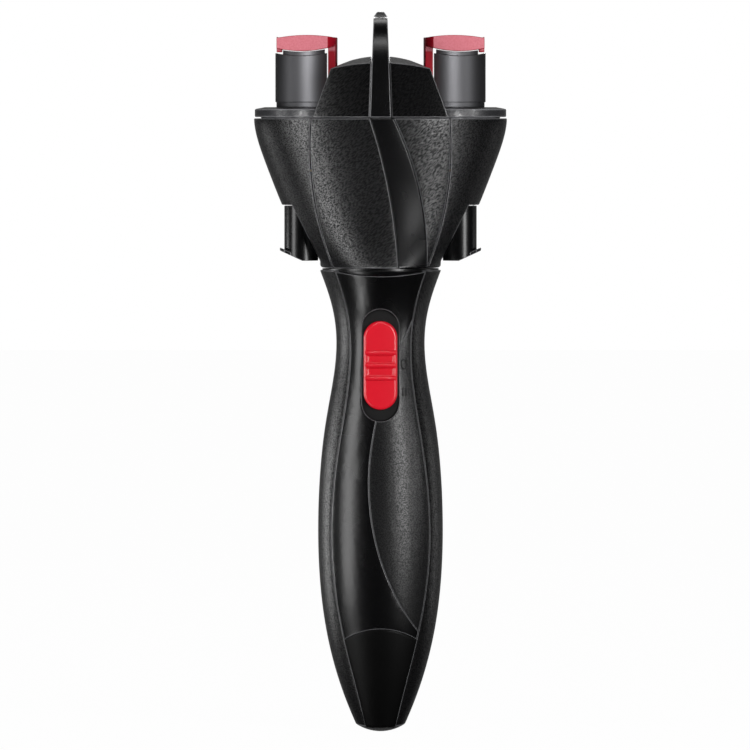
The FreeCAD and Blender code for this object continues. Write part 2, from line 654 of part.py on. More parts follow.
def cell(side, x, nub_up):
    """A cylindrical cell with its nub at one end."""
    low, high = ("cell_foot", CELL_TOP + " - cell_nub") if nub_up \
        else ("cell_foot + cell_nub", CELL_TOP)
    can = rod("cell_can_" + side, "cell_radius", low, high, x, "cell_depth")
    nub = rod("cell_nub_" + side, "cell_nub_radius", "cell_foot", CELL_TOP, x, "cell_depth")
    return fuse("cell_" + side, can, nub)


battery_cells = group("battery_cells", cell("left", CELL_X[0][1], True),
                      cell("right", CELL_X[1][1], False))
BAY_LOW = "(cell_foot - contact_space)"
BAY_HIGH = "(cell_foot + cell_length + contact_space)"


def contact_plate(name, x, low, high):
    return block(name, (x + " - cell_radius * 0.6", x + " + cell_radius * 0.6"),
                 ("cell_depth - cell_radius * 0.6", "cell_depth + cell_radius * 0.6"),
                 (low, high))


def spring_contact(side, x, low, high, plate_low):
    plate = contact_plate("spring_plate_" + side, x, plate_low, plate_low + " + contact_thickness")
    wire = coil("spring_coil_" + side, "cell_radius * 0.45", "spring_wire", "2", low, high, x,
                "cell_depth")
    return group("spring_contact_" + side, plate, wire)


battery_springs = group(
    "battery_springs",
    spring_contact("left", CELL_X[0][1], BAY_LOW + " + contact_thickness", "cell_foot", BAY_LOW),
    spring_contact("right", CELL_X[1][1], CELL_TOP, BAY_HIGH + " - contact_thickness",
                   BAY_HIGH + " - contact_thickness"))


def flat_contact(side, x, nub_end, plate_low):
    """A plate with a pressed stud that meets the cell's nub."""
    plate = contact_plate("flat_plate_" + side, x, plate_low, plate_low + " + contact_thickness")
    stud = rod("flat_stud_" + side, "cell_nub_radius", nub_end[0], nub_end[1], x, "cell_depth")
    return fuse("flat_contact_" + side, plate, stud)


battery_contacts = group(
    "battery_contacts",
    flat_contact("left", CELL_X[0][1], (CELL_TOP, BAY_HIGH), BAY_HIGH + " - contact_thickness"),
    flat_contact("right", CELL_X[1][1], (BAY_LOW, "cell_foot"), BAY_LOW))

# ---------------------------------------------------------------------------------------------
# Gears
# ---------------------------------------------------------------------------------------------

PRESSURE_ANGLE = math.radians(20)


def involute(angle):
    return math.tan(angle) - angle


def gear_face(module, teeth, backlash, phase, curved):
    """The outline of a spur gear with a tooth centred on the phase angle."""
    pitch = module * teeth / 2
    base = pitch * math.cos(PRESSURE_ANGLE)
    tip, root = pitch + module, pitch - 1.25 * module
    start = max(base, root + 0.05 * module)
    half = math.pi / (2 * teeth) - backlash / (4 * pitch) + involute(PRESSURE_ANGLE)

    def flank(radius, sign, centre):
        angle = centre + sign * (half - involute(math.acos(min(base / radius, 1))))
        return Vector(radius * math.cos(angle), radius * math.sin(angle), 0)

    def at_root(sign, centre):
        angle = centre + sign * half
        return Vector(root * math.cos(angle), root * math.sin(angle), 0)

    edges = []
    for tooth in range(teeth):
        centre = phase + 2 * math.pi * tooth / teeth
        following = centre + 2 * math.pi / teeth
        right = [flank(radius, -1, centre) for radius in (start, (start + tip) / 2, tip)]
        left = [flank(radius, 1, centre) for radius in (tip, (start + tip) / 2, start)]
        corners = [at_root(-1, centre), right[0], right[2], left[0], left[2],
                   at_root(1, centre), at_root(-1, following)]
        if curved:
            edges += [Part.LineSegment(corners[0], corners[1]).toShape(),
                      Part.Arc(*right).toShape(),
                      Part.LineSegment(corners[2], corners[3]).toShape(),
                      Part.Arc(*left).toShape(),
                      Part.LineSegment(corners[4], corners[5]).toShape(),
                      Part.LineSegment(corners[5], corners[6]).toShape()]
        else:
            straight = [corners[0], corners[2], corners[3], corners[5], corners[6]]
            edges += [Part.LineSegment(a, b).toShape() for a, b in zip(straight, straight[1:])]
    return Part.Face(Part.Wire(edges))


def mesh_phase(phase, teeth, other_teeth, direction):
    """The phase of a gear that meshes, on the side given by direction, with a gear of phase."""
    shift = (phase - direction) * teeth / other_teeth
    return direction + math.pi - shift + math.pi / other_teeth


def head_gear(name, teeth, bore, phase, x):
    face = gear_face(value("gear_module"), round(value(teeth)), value("backlash"), phase, True)
    body = face.extrude(Vector(0, 0, value("gear_thickness")))
    hole = Part.makeCylinder(value(bore), value("gear_thickness"))
    gear = fixed(name, body.cut(hole))
    gear.Placement = Placement(Vector(value(x), 0, value("gear_foot")), Rotation())
    return gear


def drive_gear(teeth, phase, low, high):
    face = gear_face(value("drive_module"), round(value(teeth)), value("backlash") / 2, phase,
                     False)
    solid = face.extrude(Vector(0, 0, high - low))
    solid.translate(Vector(0, 0, low))
    return solid


# ---------------------------------------------------------------------------------------------
# Motor and gearbox: four meshes between the main axis and a countershaft
# ---------------------------------------------------------------------------------------------

TRAIN_FOOT = "(motor_foot + motor_length + gearbox_wall + moving_gap)"
WHEEL_TIP = "(drive_module * (wheel_teeth / 2 + 1))"
COVER_FOOT = "(%s - gearbox_wall)" % GEARBOX_TOP

motor_can = common("motor_can",
                   rod("motor_round", "motor_radius", "motor_foot", GEARBOX_FOOT),
                   block("motor_flats", ("-motor_radius", "motor_radius"),
                         ("-motor_flat", "motor_flat"), ("motor_foot", GEARBOX_FOOT)))
motor = cut("motor",
            fuse("motor_blank", motor_can,
                 rod("motor_boss", "motor_boss", GEARBOX_FOOT,
                     GEARBOX_FOOT + " + gearbox_wall")),
            rod("motor_bore", "pin_radius + running_gap", GEARBOX_FOOT + " - arbor_sink - overcut",
                GEARBOX_FOOT + " + gearbox_wall"))


def train_shape(name, radius, low, high):
    """A stadium around the main axis and the countershaft."""
    return fuse(name, rod(name + "_main", radius, low, high),
                rod(name + "_counter", radius, low, high, COUNTER_OFFSET),
                block(name + "_web", ("0", COUNTER_OFFSET), ("-(%s)" % radius, radius),
                      (low, high)))


ROOM_RADIUS = WHEEL_TIP + " + moving_gap"
gearbox_housing = cut("gearbox_housing",
                      train_shape("gearbox_outside", ROOM_RADIUS + " + gearbox_wall",
                                  GEARBOX_FOOT, COVER_FOOT),
                      train_shape("gearbox_room", ROOM_RADIUS,
                                  GEARBOX_FOOT + " + gearbox_wall", COVER_FOOT),
                      rod("gearbox_mouth", "motor_boss + press_gap", GEARBOX_FOOT,
                          GEARBOX_FOOT + " + gearbox_wall"))
gearbox_cover = cut("gearbox_cover",
                    train_shape("cover_blank", ROOM_RADIUS + " + gearbox_wall", COVER_FOOT,
                                GEARBOX_TOP),
                    rod("cover_bore", "shaft_radius + running_gap", COVER_FOOT, GEARBOX_TOP),
                    rod("cover_pin_hole", "pin_radius", COVER_FOOT, GEARBOX_TOP,
                        COUNTER_OFFSET))
countershaft_pin = rod("countershaft_pin", "pin_radius", GEARBOX_FOOT + " + gearbox_wall",
                       GEARBOX_TOP, COUNTER_OFFSET)


def stage_height(stage):
    return value(TRAIN_FOOT) + stage * value("stage_step")


pinion_teeth, wheel_teeth = round(value("pinion_teeth")), round(value("wheel_teeth"))
counter_x = value(COUNTER_OFFSET)
pinion_phase = 0.0
pinion_solid = drive_gear("pinion_teeth", pinion_phase, stage_height(0),
                          stage_height(0) + value("pinion_length"))
arbor_foot = value(GEARBOX_FOOT + " - arbor_sink")
motor_arbor = Part.makeCylinder(value("pin_radius"),
                                stage_height(0) + value("pinion_length") - arbor_foot,
                                Vector(0, 0, arbor_foot))
motor_pinion = fixed("motor_pinion", pinion_solid.fuse(motor_arbor).removeSplitter())
drive_wheels = []
for stage in range(4):
    on_counter = stage % 2 == 0
    direction = 0.0 if on_counter else math.pi
    wheel_phase = mesh_phase(pinion_phase, pinion_teeth, wheel_teeth, direction)
    wheel_low = stage_height(stage) + value("wheel_lift")
    wheel_high = wheel_low + value("wheel_thickness")
    solid = drive_gear("wheel_teeth", wheel_phase, wheel_low, wheel_high)
    if stage < 3:
        pinion_phase = wheel_phase
        solid = solid.fuse(drive_gear("pinion_teeth", pinion_phase, wheel_high,
                                      stage_height(stage + 1) + value("pinion_length")))
        bore = value("pin_radius + running_gap")
    else:
        bore = value("shaft_radius + running_gap")
    hole = Part.makeCylinder(bore, REACH, Vector(0, 0, wheel_low - REACH / 2))
    name = "drive_gear_%d" % (stage + 1) if stage < 3 else "output_gear"
    wheel = fixed(name, solid.cut(hole).removeSplitter())
    wheel.Placement = Placement(Vector(counter_x if on_counter else 0, 0, 0), Rotation())
    drive_wheels.append(wheel)

# ---------------------------------------------------------------------------------------------
# Collar: the head turns in a clutch bearing held by the handle
# ---------------------------------------------------------------------------------------------

RING_TOP = "(%s + ring_height)" % COLLAR_TOP
CLIP_TOP = "(%s - moving_gap)" % CLUTCH_FOOT
HUB_FOOT = "(%s - 2 * circlip_thickness)" % CLIP_TOP

collar_disc = common("collar_disc", fitted_room,
                     rod("collar_slab", "rim_radius", COLLAR_TOP + " - collar_thickness",
                         COLLAR_TOP))
collar_plate = cut("collar_plate",
                   fuse("collar_blank", collar_disc,
                        rod("collar_socket", "clutch_radius + socket_wall", CLUTCH_FOOT,
                            COLLAR_TOP)),
                   rod("collar_bore", "clutch_radius", CLUTCH_FOOT, CLUTCH_TOP),
                   rod("collar_mouth", "hub_radius + moving_gap", CLUTCH_FOOT, COLLAR_TOP))
head_clutch = cut("head_clutch", rod("clutch_ring", "clutch_radius", CLUTCH_FOOT, CLUTCH_TOP),
                  rod("clutch_bore", "hub_radius + running_gap", CLUTCH_FOOT, CLUTCH_TOP))
collar_ring = cut("collar_ring",
                  fuse("ring_blank", rod("ring_spigot", "ring_outer", COLLAR_TOP, RING_TOP),
                       rod("ring_flange", "rim_radius - ring_inset", "rim_height",
                           CUP_BASE + " - moving_gap")),
                  rod("ring_bore", "hub_radius + 2 * moving_gap", COLLAR_TOP, RING_TOP))

# ---------------------------------------------------------------------------------------------
# Cup of the head
# ---------------------------------------------------------------------------------------------

CUP_STATIONS = ("waist", "bowl", "lip", "brim")


def cup_form(name, inset):
    """The cup's outer form moved inwards by an inset."""
    base = "cup_base_radius - " + inset
    foot = "foot_half_width - " + inset
    rings = [oval(name + "_base", base, base, CUP_BASE),
             oval(name + "_foot", foot, foot + " - foot_flat", CUP_BASE + " + foot_rise")]
    for station in CUP_STATIONS:
        wide = "%s_half_width - %s" % (station, inset)
        rings.append(oval("%s_%s" % (name, station), wide, "%s - %s_flat" % (wide, station),
                          station + "_height"))
    return loft(name, rings)


def flank(name, side, depth):
    """The hollow on one side that frees the push tab, deepened by a depth."""
    sign = 1 if side == "right" else -1
    corners = [("flank_foot - %s" % depth, CUP_BASE + " - overcut"),
               ("flank_foot - %s" % depth, CUP_BASE + " + foot_rise"),
               ("waist_half_width - flank_inset - %s" % depth, "waist_height + %s" % depth),
               ("brim_half_width * 1.5", "waist_height + %s" % depth),
               ("brim_half_width * 1.5", CUP_BASE + " - overcut")]
    body = extruded(name + "_right" if sign < 0 else name, corners, "brim_half_width",
                    "brim_half_width")
    return body if sign > 0 else mirror(name, body)


cup_outer = cup_form("cup_outer", "0")
cup_inner = cup_form("cup_inner", "cup_wall")
cup_fitted = cup_form("cup_fitted", "(cup_wall + fit_gap)")
flanks = fuse("flanks", flank("flank_left", "left", "0"), flank("flank_right", "right", "0"))
deep_flanks = fuse("deep_flanks", flank("deep_flank_left", "left", "cup_wall"),
                   flank("deep_flank_right", "right", "cup_wall"))
cup_solid = cut("cup_solid", cup_outer, flanks)
cup_room = cut("cup_room", cup_inner, deep_flanks)
guides = common("guides", cup_solid,
                fuse("guide_tubes", *[rod("guide_tube_" + side,
                                          "tab_radius + moving_gap + guide_wall", "guide_foot",
                                          "plate_foot", "%d * %s" % (sign, AXIS_OFFSET))
                                      for side, sign in SIDES]))
guide_bores = fuse("guide_bores", *[rod("guide_bore_" + side, "tab_radius + moving_gap",
                                        CUP_BASE + " - overcut", "plate_foot",
                                        "%d * %s" % (sign, AXIS_OFFSET))
                                    for side, sign in SIDES])
cup_walls = cut("cup_walls",
                fuse("cup_wall_parts", cut("cup_shell", cup_solid, cup_room), guides),
                guide_bores)


def seam_prism(name, grow, turn_back=False):
    """The front panel's region between its two seams; turned to the back on request."""
    heights = [value(CUP_BASE + " - overcut"), value("waist_height"),
               value("brim_height + overcut")]
    halves = [value("seam_" + key) + grow for key in ("base", "waist", "brim")]
    right = [(half, 0, high) for half, high in zip(halves, heights)]
    left = [(-across, 0, high) for across, deep, high in right]
    top = Part.LineSegment(Vector(*left[-1]), Vector(*right[-1])).toShape()
    foot = Part.LineSegment(Vector(*right[0]), Vector(*left[0])).toShape()
    guide_reach = value("tab_radius + moving_gap + guide_wall + overcut")
    prism = front_prism(name, [spline(left), top, spline(right[::-1]), foot],
                        "-%f" % guide_reach)
    if turn_back:
        prism.Placement = Placement(Vector(), Rotation(Vector(0, 0, 1), 180))
    return prism


half_seam = value("seam_gap / 2")
sash_back = cup_form("sash_back", "groove")
sash_face = cup_form("sash_face", "(0 - sash_proud)")


def sash_prism(name, grow):
    """The band that sweeps from the fin's foot to the lower right."""
    heights = [value(CUP_BASE + " - overcut"), value("sash_mid_height"),
               value("brim_height + overcut")]
    left = [(value("sash_%s_left" % key) - grow, 0, high)
            for key, high in zip(("foot", "mid", "top"), heights)]
    right = [(value("sash_%s_right" % key) + grow, 0, high)
             for key, high in zip(("foot", "mid", "top"), heights)]
    top = Part.LineSegment(Vector(*left[-1]), Vector(*right[-1])).toShape()
    foot = Part.LineSegment(Vector(*right[0]), Vector(*left[0])).toShape()
    return front_prism(name, [spline(left), top, spline(right[::-1]), foot])


front_zone = common("front_zone", cup_walls, seam_prism("front_seams", -half_seam))
cup_front_panel = cut("cup_front_panel", front_zone,
                      cut("sash_pocket", sash_prism("sash_pocket_outline", value("fit_gap")),
                          sash_back))
cup_rear_panel = common("cup_rear_panel", cup_walls, seam_prism("rear_seams", -half_seam, True))
head_sash = common("head_sash", cut("sash_skin", sash_face, sash_back),
                   sash_prism("sash_outline", 0.0))
seam_gaps = fuse("seam_gaps", seam_prism("front_seam_gap", half_seam),
                 seam_prism("rear_seam_gap", half_seam, True))
HEAD_HIGH = (CUP_BASE + " - overcut", "fin_top")
left_half = block("left_half", ("-brim_half_width * 2", "0"), ALL_WIDE, HEAD_HIGH)
cup_side_left = cut("cup_side_left", common("cup_left", cup_walls, left_half), seam_gaps)
cup_side_right = mirror("cup_side_right", cup_side_left)

# ---------------------------------------------------------------------------------------------
# Frame of the head: hub, bearing plate and deck
# ---------------------------------------------------------------------------------------------

HUB_TOP = "(rim_height + head_gap + floor_thickness)"
QUARTERS = [(x, y) for x in "-+" for y in "-+"]
COLUMNS = [("0 %s column_x" % x, "0 %s column_y" % y) for x, y in QUARTERS]
STANDOFFS = [("0 %s standoff_x" % x, "0 %s standoff_y" % y) for x, y in QUARTERS]


def slab(name, form, low, high):
    return common(name, form, rod(name + "_span", "brim_half_width * 1.5", low, high))


def pegs(name, radius, low, high, places):
    return [rod("%s_%d" % (name, number), radius, low, high, *place)
            for number, place in enumerate(places)]


hub_floor = cut("hub_floor", slab("hub_slab", cup_fitted, CUP_BASE + " + floor_lift", HUB_TOP),
                deep_flanks)
rotor_hub = cut("rotor_hub",
                fuse("hub_blank", hub_floor, rod("hub_tube", "hub_radius", HUB_FOOT, HUB_TOP),
                     *pegs("hub_column", "column_radius", HUB_TOP, "plate_foot", COLUMNS)),
                rod("hub_bore", "hub_bore", HUB_FOOT, HUB_TOP),
                cut("clip_groove", rod("groove_outside", "hub_radius + overcut",
                                       CLIP_TOP + " - circlip_thickness", CLIP_TOP),
                    rod("groove_inside", "hub_radius - groove_depth",
                        CLIP_TOP + " - circlip_thickness", CLIP_TOP)),
                fuse("column_pilots", *pegs("column_pilot", "screw_radius",
                                            BEARING_TOP + " - screw_length - pilot_room", "plate_foot",
                                            COLUMNS)))
hub_circlip = cut("hub_circlip",
                  rod("circlip_blank", "circlip_radius", CLIP_TOP + " - circlip_thickness",
                      CLIP_TOP),
                  rod("circlip_bore", "hub_radius - groove_depth",
                      CLIP_TOP + " - circlip_thickness", CLIP_TOP),
                  block("circlip_mouth", ("-circlip_radius * 0.3", "circlip_radius * 0.3"),
                        ("0", "circlip_radius * 2"), (CLIP_TOP + " - 2 * circlip_thickness",
                                                      CLIP_TOP + " + circlip_thickness")))
shaft_clutch = cut("shaft_clutch",
                   rod("shaft_clutch_ring", "hub_bore", CLUTCH_FOOT, CLUTCH_TOP),
                   rod("shaft_clutch_bore", "shaft_radius + running_gap", CLUTCH_FOOT,
                       CLUTCH_TOP))

AXES = [("%d * %s" % (sign, AXIS_OFFSET), "0") for side, sign in SIDES]
IDLERS = [("%d * %s" % (sign, IDLER_OFFSET), "0") for side, sign in SIDES]
IDLER_SEAT = "(gear_foot - moving_gap)"
bearing_plate = cut("bearing_plate",
                    fuse("bearing_blank",
                         slab("bearing_slab", cup_fitted, "plate_foot", BEARING_TOP),
                         *pegs("standoff", "column_radius", BEARING_TOP, "deck_foot",
                               STANDOFFS),
                         *pegs("gear_seat", "idler_pin + seat_wall", BEARING_TOP, IDLER_SEAT,
                               IDLERS + [("0", "0")])),
                    fuse("spindle_holes", *pegs("spindle_hole", "bush_radius", "plate_foot",
                                                BEARING_TOP, AXES)),
                    fuse("pin_holes", *pegs("pin_hole", "idler_pin", "plate_foot",
                                            IDLER_SEAT, IDLERS)),
                    rod("shaft_hole", "shaft_radius + running_gap", "plate_foot", IDLER_SEAT),
                    fuse("plate_screw_holes", *pegs("plate_screw_hole",
                                                    "screw_radius + fit_gap", "plate_foot",
                                                    BEARING_TOP, COLUMNS)),
                    fuse("standoff_pilots", *pegs("standoff_pilot", "screw_radius",
                                                  DECK_TOP + " - screw_length - pilot_room",
                                                  "deck_foot", STANDOFFS)))
deck_plate = cut("deck_plate", slab("deck_slab", cup_fitted, "deck_foot", DECK_TOP),
                 fuse("drum_holes", *pegs("drum_hole", "drum_radius + moving_gap", "deck_foot",
                                          DECK_TOP, AXES)),
                 fuse("deck_screw_holes", *pegs("deck_screw_hole", "screw_radius + fit_gap",
                                                "deck_foot", DECK_TOP, STANDOFFS)))
head_screws = group("head_screws",
                    *[screw("plate_screw_%d" % number, BEARING_TOP, *place)
                      for number, place in enumerate(COLUMNS)],
                    *[screw("deck_screw_%d" % number, DECK_TOP, *place)
                      for number, place in enumerate(STANDOFFS)])

bushes = []
for (side, sign), (x, y) in zip(SIDES, AXES):
    bush = turned("bush_" + side, [
        ("spindle_radius + running_gap", "plate_foot"), ("bush_radius", "plate_foot"),
        ("bush_radius", BEARING_TOP), ("bush_flange", BEARING_TOP),
        ("bush_flange", BEARING_TOP + " + flange_thickness"),
        ("spindle_radius + running_gap", BEARING_TOP + " + flange_thickness")])
    bushes.append(bind(bush, at_x=x))
spindle_bushes = group("spindle_bushes", *bushes)
PIN_HEAD = "(gear_foot + gear_thickness + moving_gap)"
idler_pins = group("idler_pins", *[
    fuse("idler_pin_" + side, rod("pin_shank_" + side, "idler_pin", "plate_foot", PIN_HEAD, x),
         rod("pin_head_" + side, "pin_head", PIN_HEAD, PIN_HEAD + " + pin_head_height", x))
    for (side, sign), (x, y) in zip(SIDES, IDLERS)])

# ---------------------------------------------------------------------------------------------
# Drive shaft, sun, idlers and spindle gears
# ---------------------------------------------------------------------------------------------

SPIGOT_FOOT = "(%s + stage_step + spigot_gap)" % TRAIN_FOOT
SHAFT_FOOT = "(%s + 3 * stage_step)" % TRAIN_FOOT
SHAFT_TOP = "(gear_foot + gear_thickness + shaft_proud)"
drive_shaft = turned("drive_shaft", [
    ("0", SPIGOT_FOOT), ("pin_radius", SPIGOT_FOOT), ("pin_radius", SHAFT_FOOT),
    ("shaft_radius", SHAFT_FOOT), ("shaft_radius", SHAFT_TOP), ("0", SHAFT_TOP)])
sun_phase = 0.0
sun_gear = head_gear("sun_gear", "sun_teeth", "shaft_radius", sun_phase, "0")
sun_count, idler_count, spindle_count = (
    round(value(key)) for key in ("sun_teeth", "idler_teeth", "spindle_teeth"))
idler_gears, spindle_gears = {}, {}
for side, sign in SIDES:
    direction = 0.0 if sign > 0 else math.pi
    idler_phase = mesh_phase(sun_phase, sun_count, idler_count, direction)
    spindle_phase = mesh_phase(idler_phase, idler_count, spindle_count, direction)
    idler_gears[side] = head_gear("idler_gear_" + side, "idler_teeth",
                                  "idler_pin + running_gap", idler_phase,
                                  "%d * %s" % (sign, IDLER_OFFSET))
    spindle_gears[side] = head_gear("spindle_gear_" + side, "spindle_teeth", "spindle_radius",
                                    spindle_phase, "%d * %s" % (sign, AXIS_OFFSET))

# ---------------------------------------------------------------------------------------------
# Spindles: turntable, post, clamp cap, lifter, push tab and spring
# ---------------------------------------------------------------------------------------------

CROWN_TOP = "(%s + table_crown)" % TABLE_TOP
STEP_FOOT = "(%s + 2 * moving_gap)" % DECK_TOP
JAW_RADIUS = "((post_radius * post_radius + post_dip * post_dip) / (2 * post_dip))"
JAW_CENTRE = "(post_top - post_dip + %s)" % JAW_RADIUS
YOKE_FOOT = "(%s + drum_floor + moving_gap)" % DRUM_FOOT
YOKE_TOP = "(%s + drum_floor + moving_gap + yoke_thickness)" % DRUM_FOOT
TAB_TOP = "(waist_height - moving_gap)"


def build_spindle(side, sign):
    """Make one spindle; its cap's leg stands on the side towards the dome."""
    axis = "%d * %s" % (sign, AXIS_OFFSET)
    inward = "-" if sign > 0 else "+"

    def near(distance):
        return "%s %s (%s)" % (axis, inward, distance)

    def across(first, second):
        pair = (near(first), near(second))
        return pair if sign < 0 else pair[::-1]

    disc = bind(turned("table_blank_" + side, [
        ("rod_radius + moving_gap", "spindle_end"), ("spindle_radius", "spindle_end"),
        ("spindle_radius", DRUM_FOOT), ("drum_radius", DRUM_FOOT), ("drum_radius", STEP_FOOT),
        ("table_radius - table_step", STEP_FOOT), ("table_radius - table_step", TABLE_FOOT),
        ("table_radius", TABLE_FOOT), ("table_radius", TABLE_TOP),
        ("leg_outer", CROWN_TOP), ("0", CROWN_TOP),
        ("0", TABLE_FOOT), ("drum_bore", TABLE_FOOT), ("drum_bore", DRUM_FOOT + " + drum_floor"),
        ("rod_radius + moving_gap", DRUM_FOOT + " + drum_floor")]), at_x=axis)
    leg_way = block("leg_way_" + side, across("leg_inner - moving_gap", "drum_bore"),
                    ("-leg_depth - moving_gap", "leg_depth + moving_gap"),
                    (TABLE_FOOT, CROWN_TOP + " + overcut"))
    table = cut("turntable_" + side, disc, leg_way)

    post_blank = bind(turned("post_blank_" + side, [
        ("0", CROWN_TOP), ("post_base_radius", CROWN_TOP),
        ("post_base_radius", CROWN_TOP + " + post_base"),
        ("post_radius", CROWN_TOP + " + post_base"), ("post_radius", "post_top"),
        ("0", "post_top")]), at_x=axis)
    sleeve = cut("post_sleeve_" + side, post_blank,
                 cross_rod("post_trough_" + side, JAW_RADIUS, "-post_radius - overcut",
                           "post_radius + overcut", axis, JAW_CENTRE))
    core = cut("post_core_" + side,
               common("core_blank_" + side,
                      rod("core_round_" + side, "post_radius - core_inset", CROWN_TOP,
                          "post_top + cap_gap", axis),
                      block("core_side_" + side,
                            across("-(cap_front - tooth_width - moving_gap)", "post_radius"),
                            ("-post_radius", "post_radius"), (CROWN_TOP, "post_top + cap_gap"))),
               cross_rod("core_trough_" + side, JAW_RADIUS + " - cap_gap + clamp_gap",
                         "-post_radius - overcut", "post_radius + overcut", axis,
                         JAW_CENTRE))
    post = fuse("post_" + side, sleeve, core)

    cap_top = "(post_top - post_dip + cap_gap + cap_rise)"
    brow = block("cap_brow_" + side, across("-cap_front", "leg_outer"),
                 ("-cap_depth", "cap_depth"), ("post_top - post_dip", cap_top + " + cap_rise"))
    crown = cross_rod("cap_crown_" + side, "cap_crown_radius", "-cap_depth - overcut",
                      "cap_depth + overcut", near("(leg_outer - cap_front) / 2"),
                      cap_top + " + cap_crown_rise - cap_crown_radius")
    jaw = cross_rod("cap_jaw_" + side, JAW_RADIUS + " - cap_gap", "-cap_depth - overcut",
                    "cap_depth + overcut", axis, JAW_CENTRE)
    head = common("cap_head_" + side, brow, crown, jaw)
    leg = block("cap_leg_" + side, across("leg_inner", "leg_outer"),
                ("-leg_depth", "leg_depth"), (CROWN_TOP + " + 2 * moving_gap", cap_top))
    stalk = common("cap_stalk_" + side,
                   block("stalk_blank_" + side, across("leg_inner", "stalk_outer"),
                         ("-leg_depth", "leg_depth"), (YOKE_TOP, cap_top)),
                   rod("stalk_plan_" + side, "stalk_outer", YOKE_TOP, cap_top, axis))
    tooth = block("cap_tooth_" + side, across("-cap_front", "-cap_front + tooth_width"),
                  ("-tooth_half", "tooth_half"),
                  ("post_top + tooth_gap", cap_top))
    cap_plan = rod("cap_plan_" + side, "leg_outer", YOKE_TOP, cap_top + " + cap_rise", axis)
    cap = common("clamp_cap_" + side, fuse("cap_blank_" + side, head, leg, stalk, tooth),
                 cap_plan)

    arm = block("lifter_arm_" + side, across("0", "stalk_outer"),
                ("-leg_depth + arm_inset", "leg_depth - arm_inset"), (YOKE_FOOT, YOKE_TOP))
    lifter = common("clamp_lifter_" + side,
                    fuse("lifter_blank_" + side, arm,
                         rod("lifter_rod_" + side, "rod_radius", TAB_TOP + " + moving_gap",
                             YOKE_TOP, axis)),
                    rod("lifter_plan_" + side, "stalk_outer", TAB_TOP, YOKE_TOP, axis))

    column = rod("tab_column_" + side, "tab_radius", "tab_foot", TAB_TOP, axis)
    lip_root, lip_tip = "-lip_root", "lip_reach"
    wedge_corners = [(lip_root, "tab_foot"), (lip_tip, "tab_foot + lip_rise"),
                     (lip_tip, "tab_foot - overcut"), (lip_root, "tab_foot - overcut")]
    lip_corners = [(lip_root, "tab_foot"), (lip_tip, "tab_foot + lip_rise"),
                   (lip_tip, "tab_foot + lip_rise + lip_thickness"),
                   (lip_root, "tab_foot + lip_thickness")]

    def outward(name, corners, half):
        placed = [("%s + %s" % (AXIS_OFFSET, x), z) for x, z in corners]
        body = extruded(name + ("_right" if sign < 0 else ""), placed, half, half)
        return body if sign > 0 else mirror(name, body)

    tab = common("push_tab_" + side,
                 fuse("tab_blank_" + side,
                      cut("tab_slant_" + side, column,
                          outward("tab_wedge_" + side, wedge_corners, "tab_radius + overcut")),
                      outward("tab_lip_" + side, lip_corners, "lip_half")),
                 rod("tab_plan_" + side, "lip_reach", "tab_foot - overcut", TAB_TOP, axis))
    spring = coil("return_spring_" + side, "spring_radius", "spring_wire", "spring_turns",
                  TAB_TOP, "plate_foot", axis)
    return table, post, cap, lifter, tab, spring


spindle_nodes = {}
for side, sign in SIDES:
    for piece in build_spindle(side, sign):
        spindle_nodes[piece.Name] = piece

# ---------------------------------------------------------------------------------------------
# Dome and fin
# ---------------------------------------------------------------------------------------------


def dome_section(y, crest, inset, low):
    """An upright section of the dome: leaning sides under a low arch."""
    base, shoulder = value("dome_base") - inset, value("dome_shoulder") - inset
    high = value("dome_shoulder_height") - inset
    corners = [Vector(-base, y, low), Vector(-shoulder, y, high), Vector(shoulder, y, high),
               Vector(base, y, low)]
    arch = Part.Arc(corners[1], Vector(0, y, crest - inset), corners[2]).toShape()
    lines = [Part.LineSegment(corners[0], corners[1]).toShape(), arch,
             Part.LineSegment(corners[2], corners[3]).toShape(),
             Part.LineSegment(corners[3], corners[0]).toShape()]
    return Part.Wire(lines)


def dome_body(name, inset, low):
    """The dome's solid moved inwards by an inset and reaching down to a height."""
    depth = value("brim_half_width - brim_flat")
    sections = [dome_section(y, crest, inset, low) for y, crest in (
        (-depth, value("dome_front_top")), (0, value("dome_crest")),
        (depth, value("dome_front_top")))]
    form = fixed(name + "_form", Part.makeLoft(sections, True))
    lean = "(%s - dome_lean)" % ("brim_half_width - brim_flat - %f" % inset)
    wide = "brim_half_width - %f" % inset
    plan = loft(name + "_plan", [
        oval(name + "_plan_low", wide, wide + " - brim_flat", "%f" % low),
        oval(name + "_plan_high", wide, lean, "dome_crest + overcut")])
    return cut(name, common(name + "_blank", form, plan),
               *[rod("%s_clear_%s" % (name, side),
                     "table_radius + table_clearance + %f" % inset, "deck_foot", "fin_top", x)
                 for (side, sign), (x, y) in zip(SIDES, AXES)])


dome_foot = value("brim_height + parting_gap")
skirt_inset = value("cup_wall + fit_gap")
dome_wall = value("dome_wall")
dome_outer = dome_body("dome_outer", 0.0, dome_foot)
dome_skirt = dome_body("dome_skirt", skirt_inset, value(DECK_TOP))
dome_room = dome_body("dome_room", dome_wall, value(DECK_TOP + " - overcut"))
fin_bed = dome_body("fin_bed", value("groove"), dome_foot - value("overcut"))


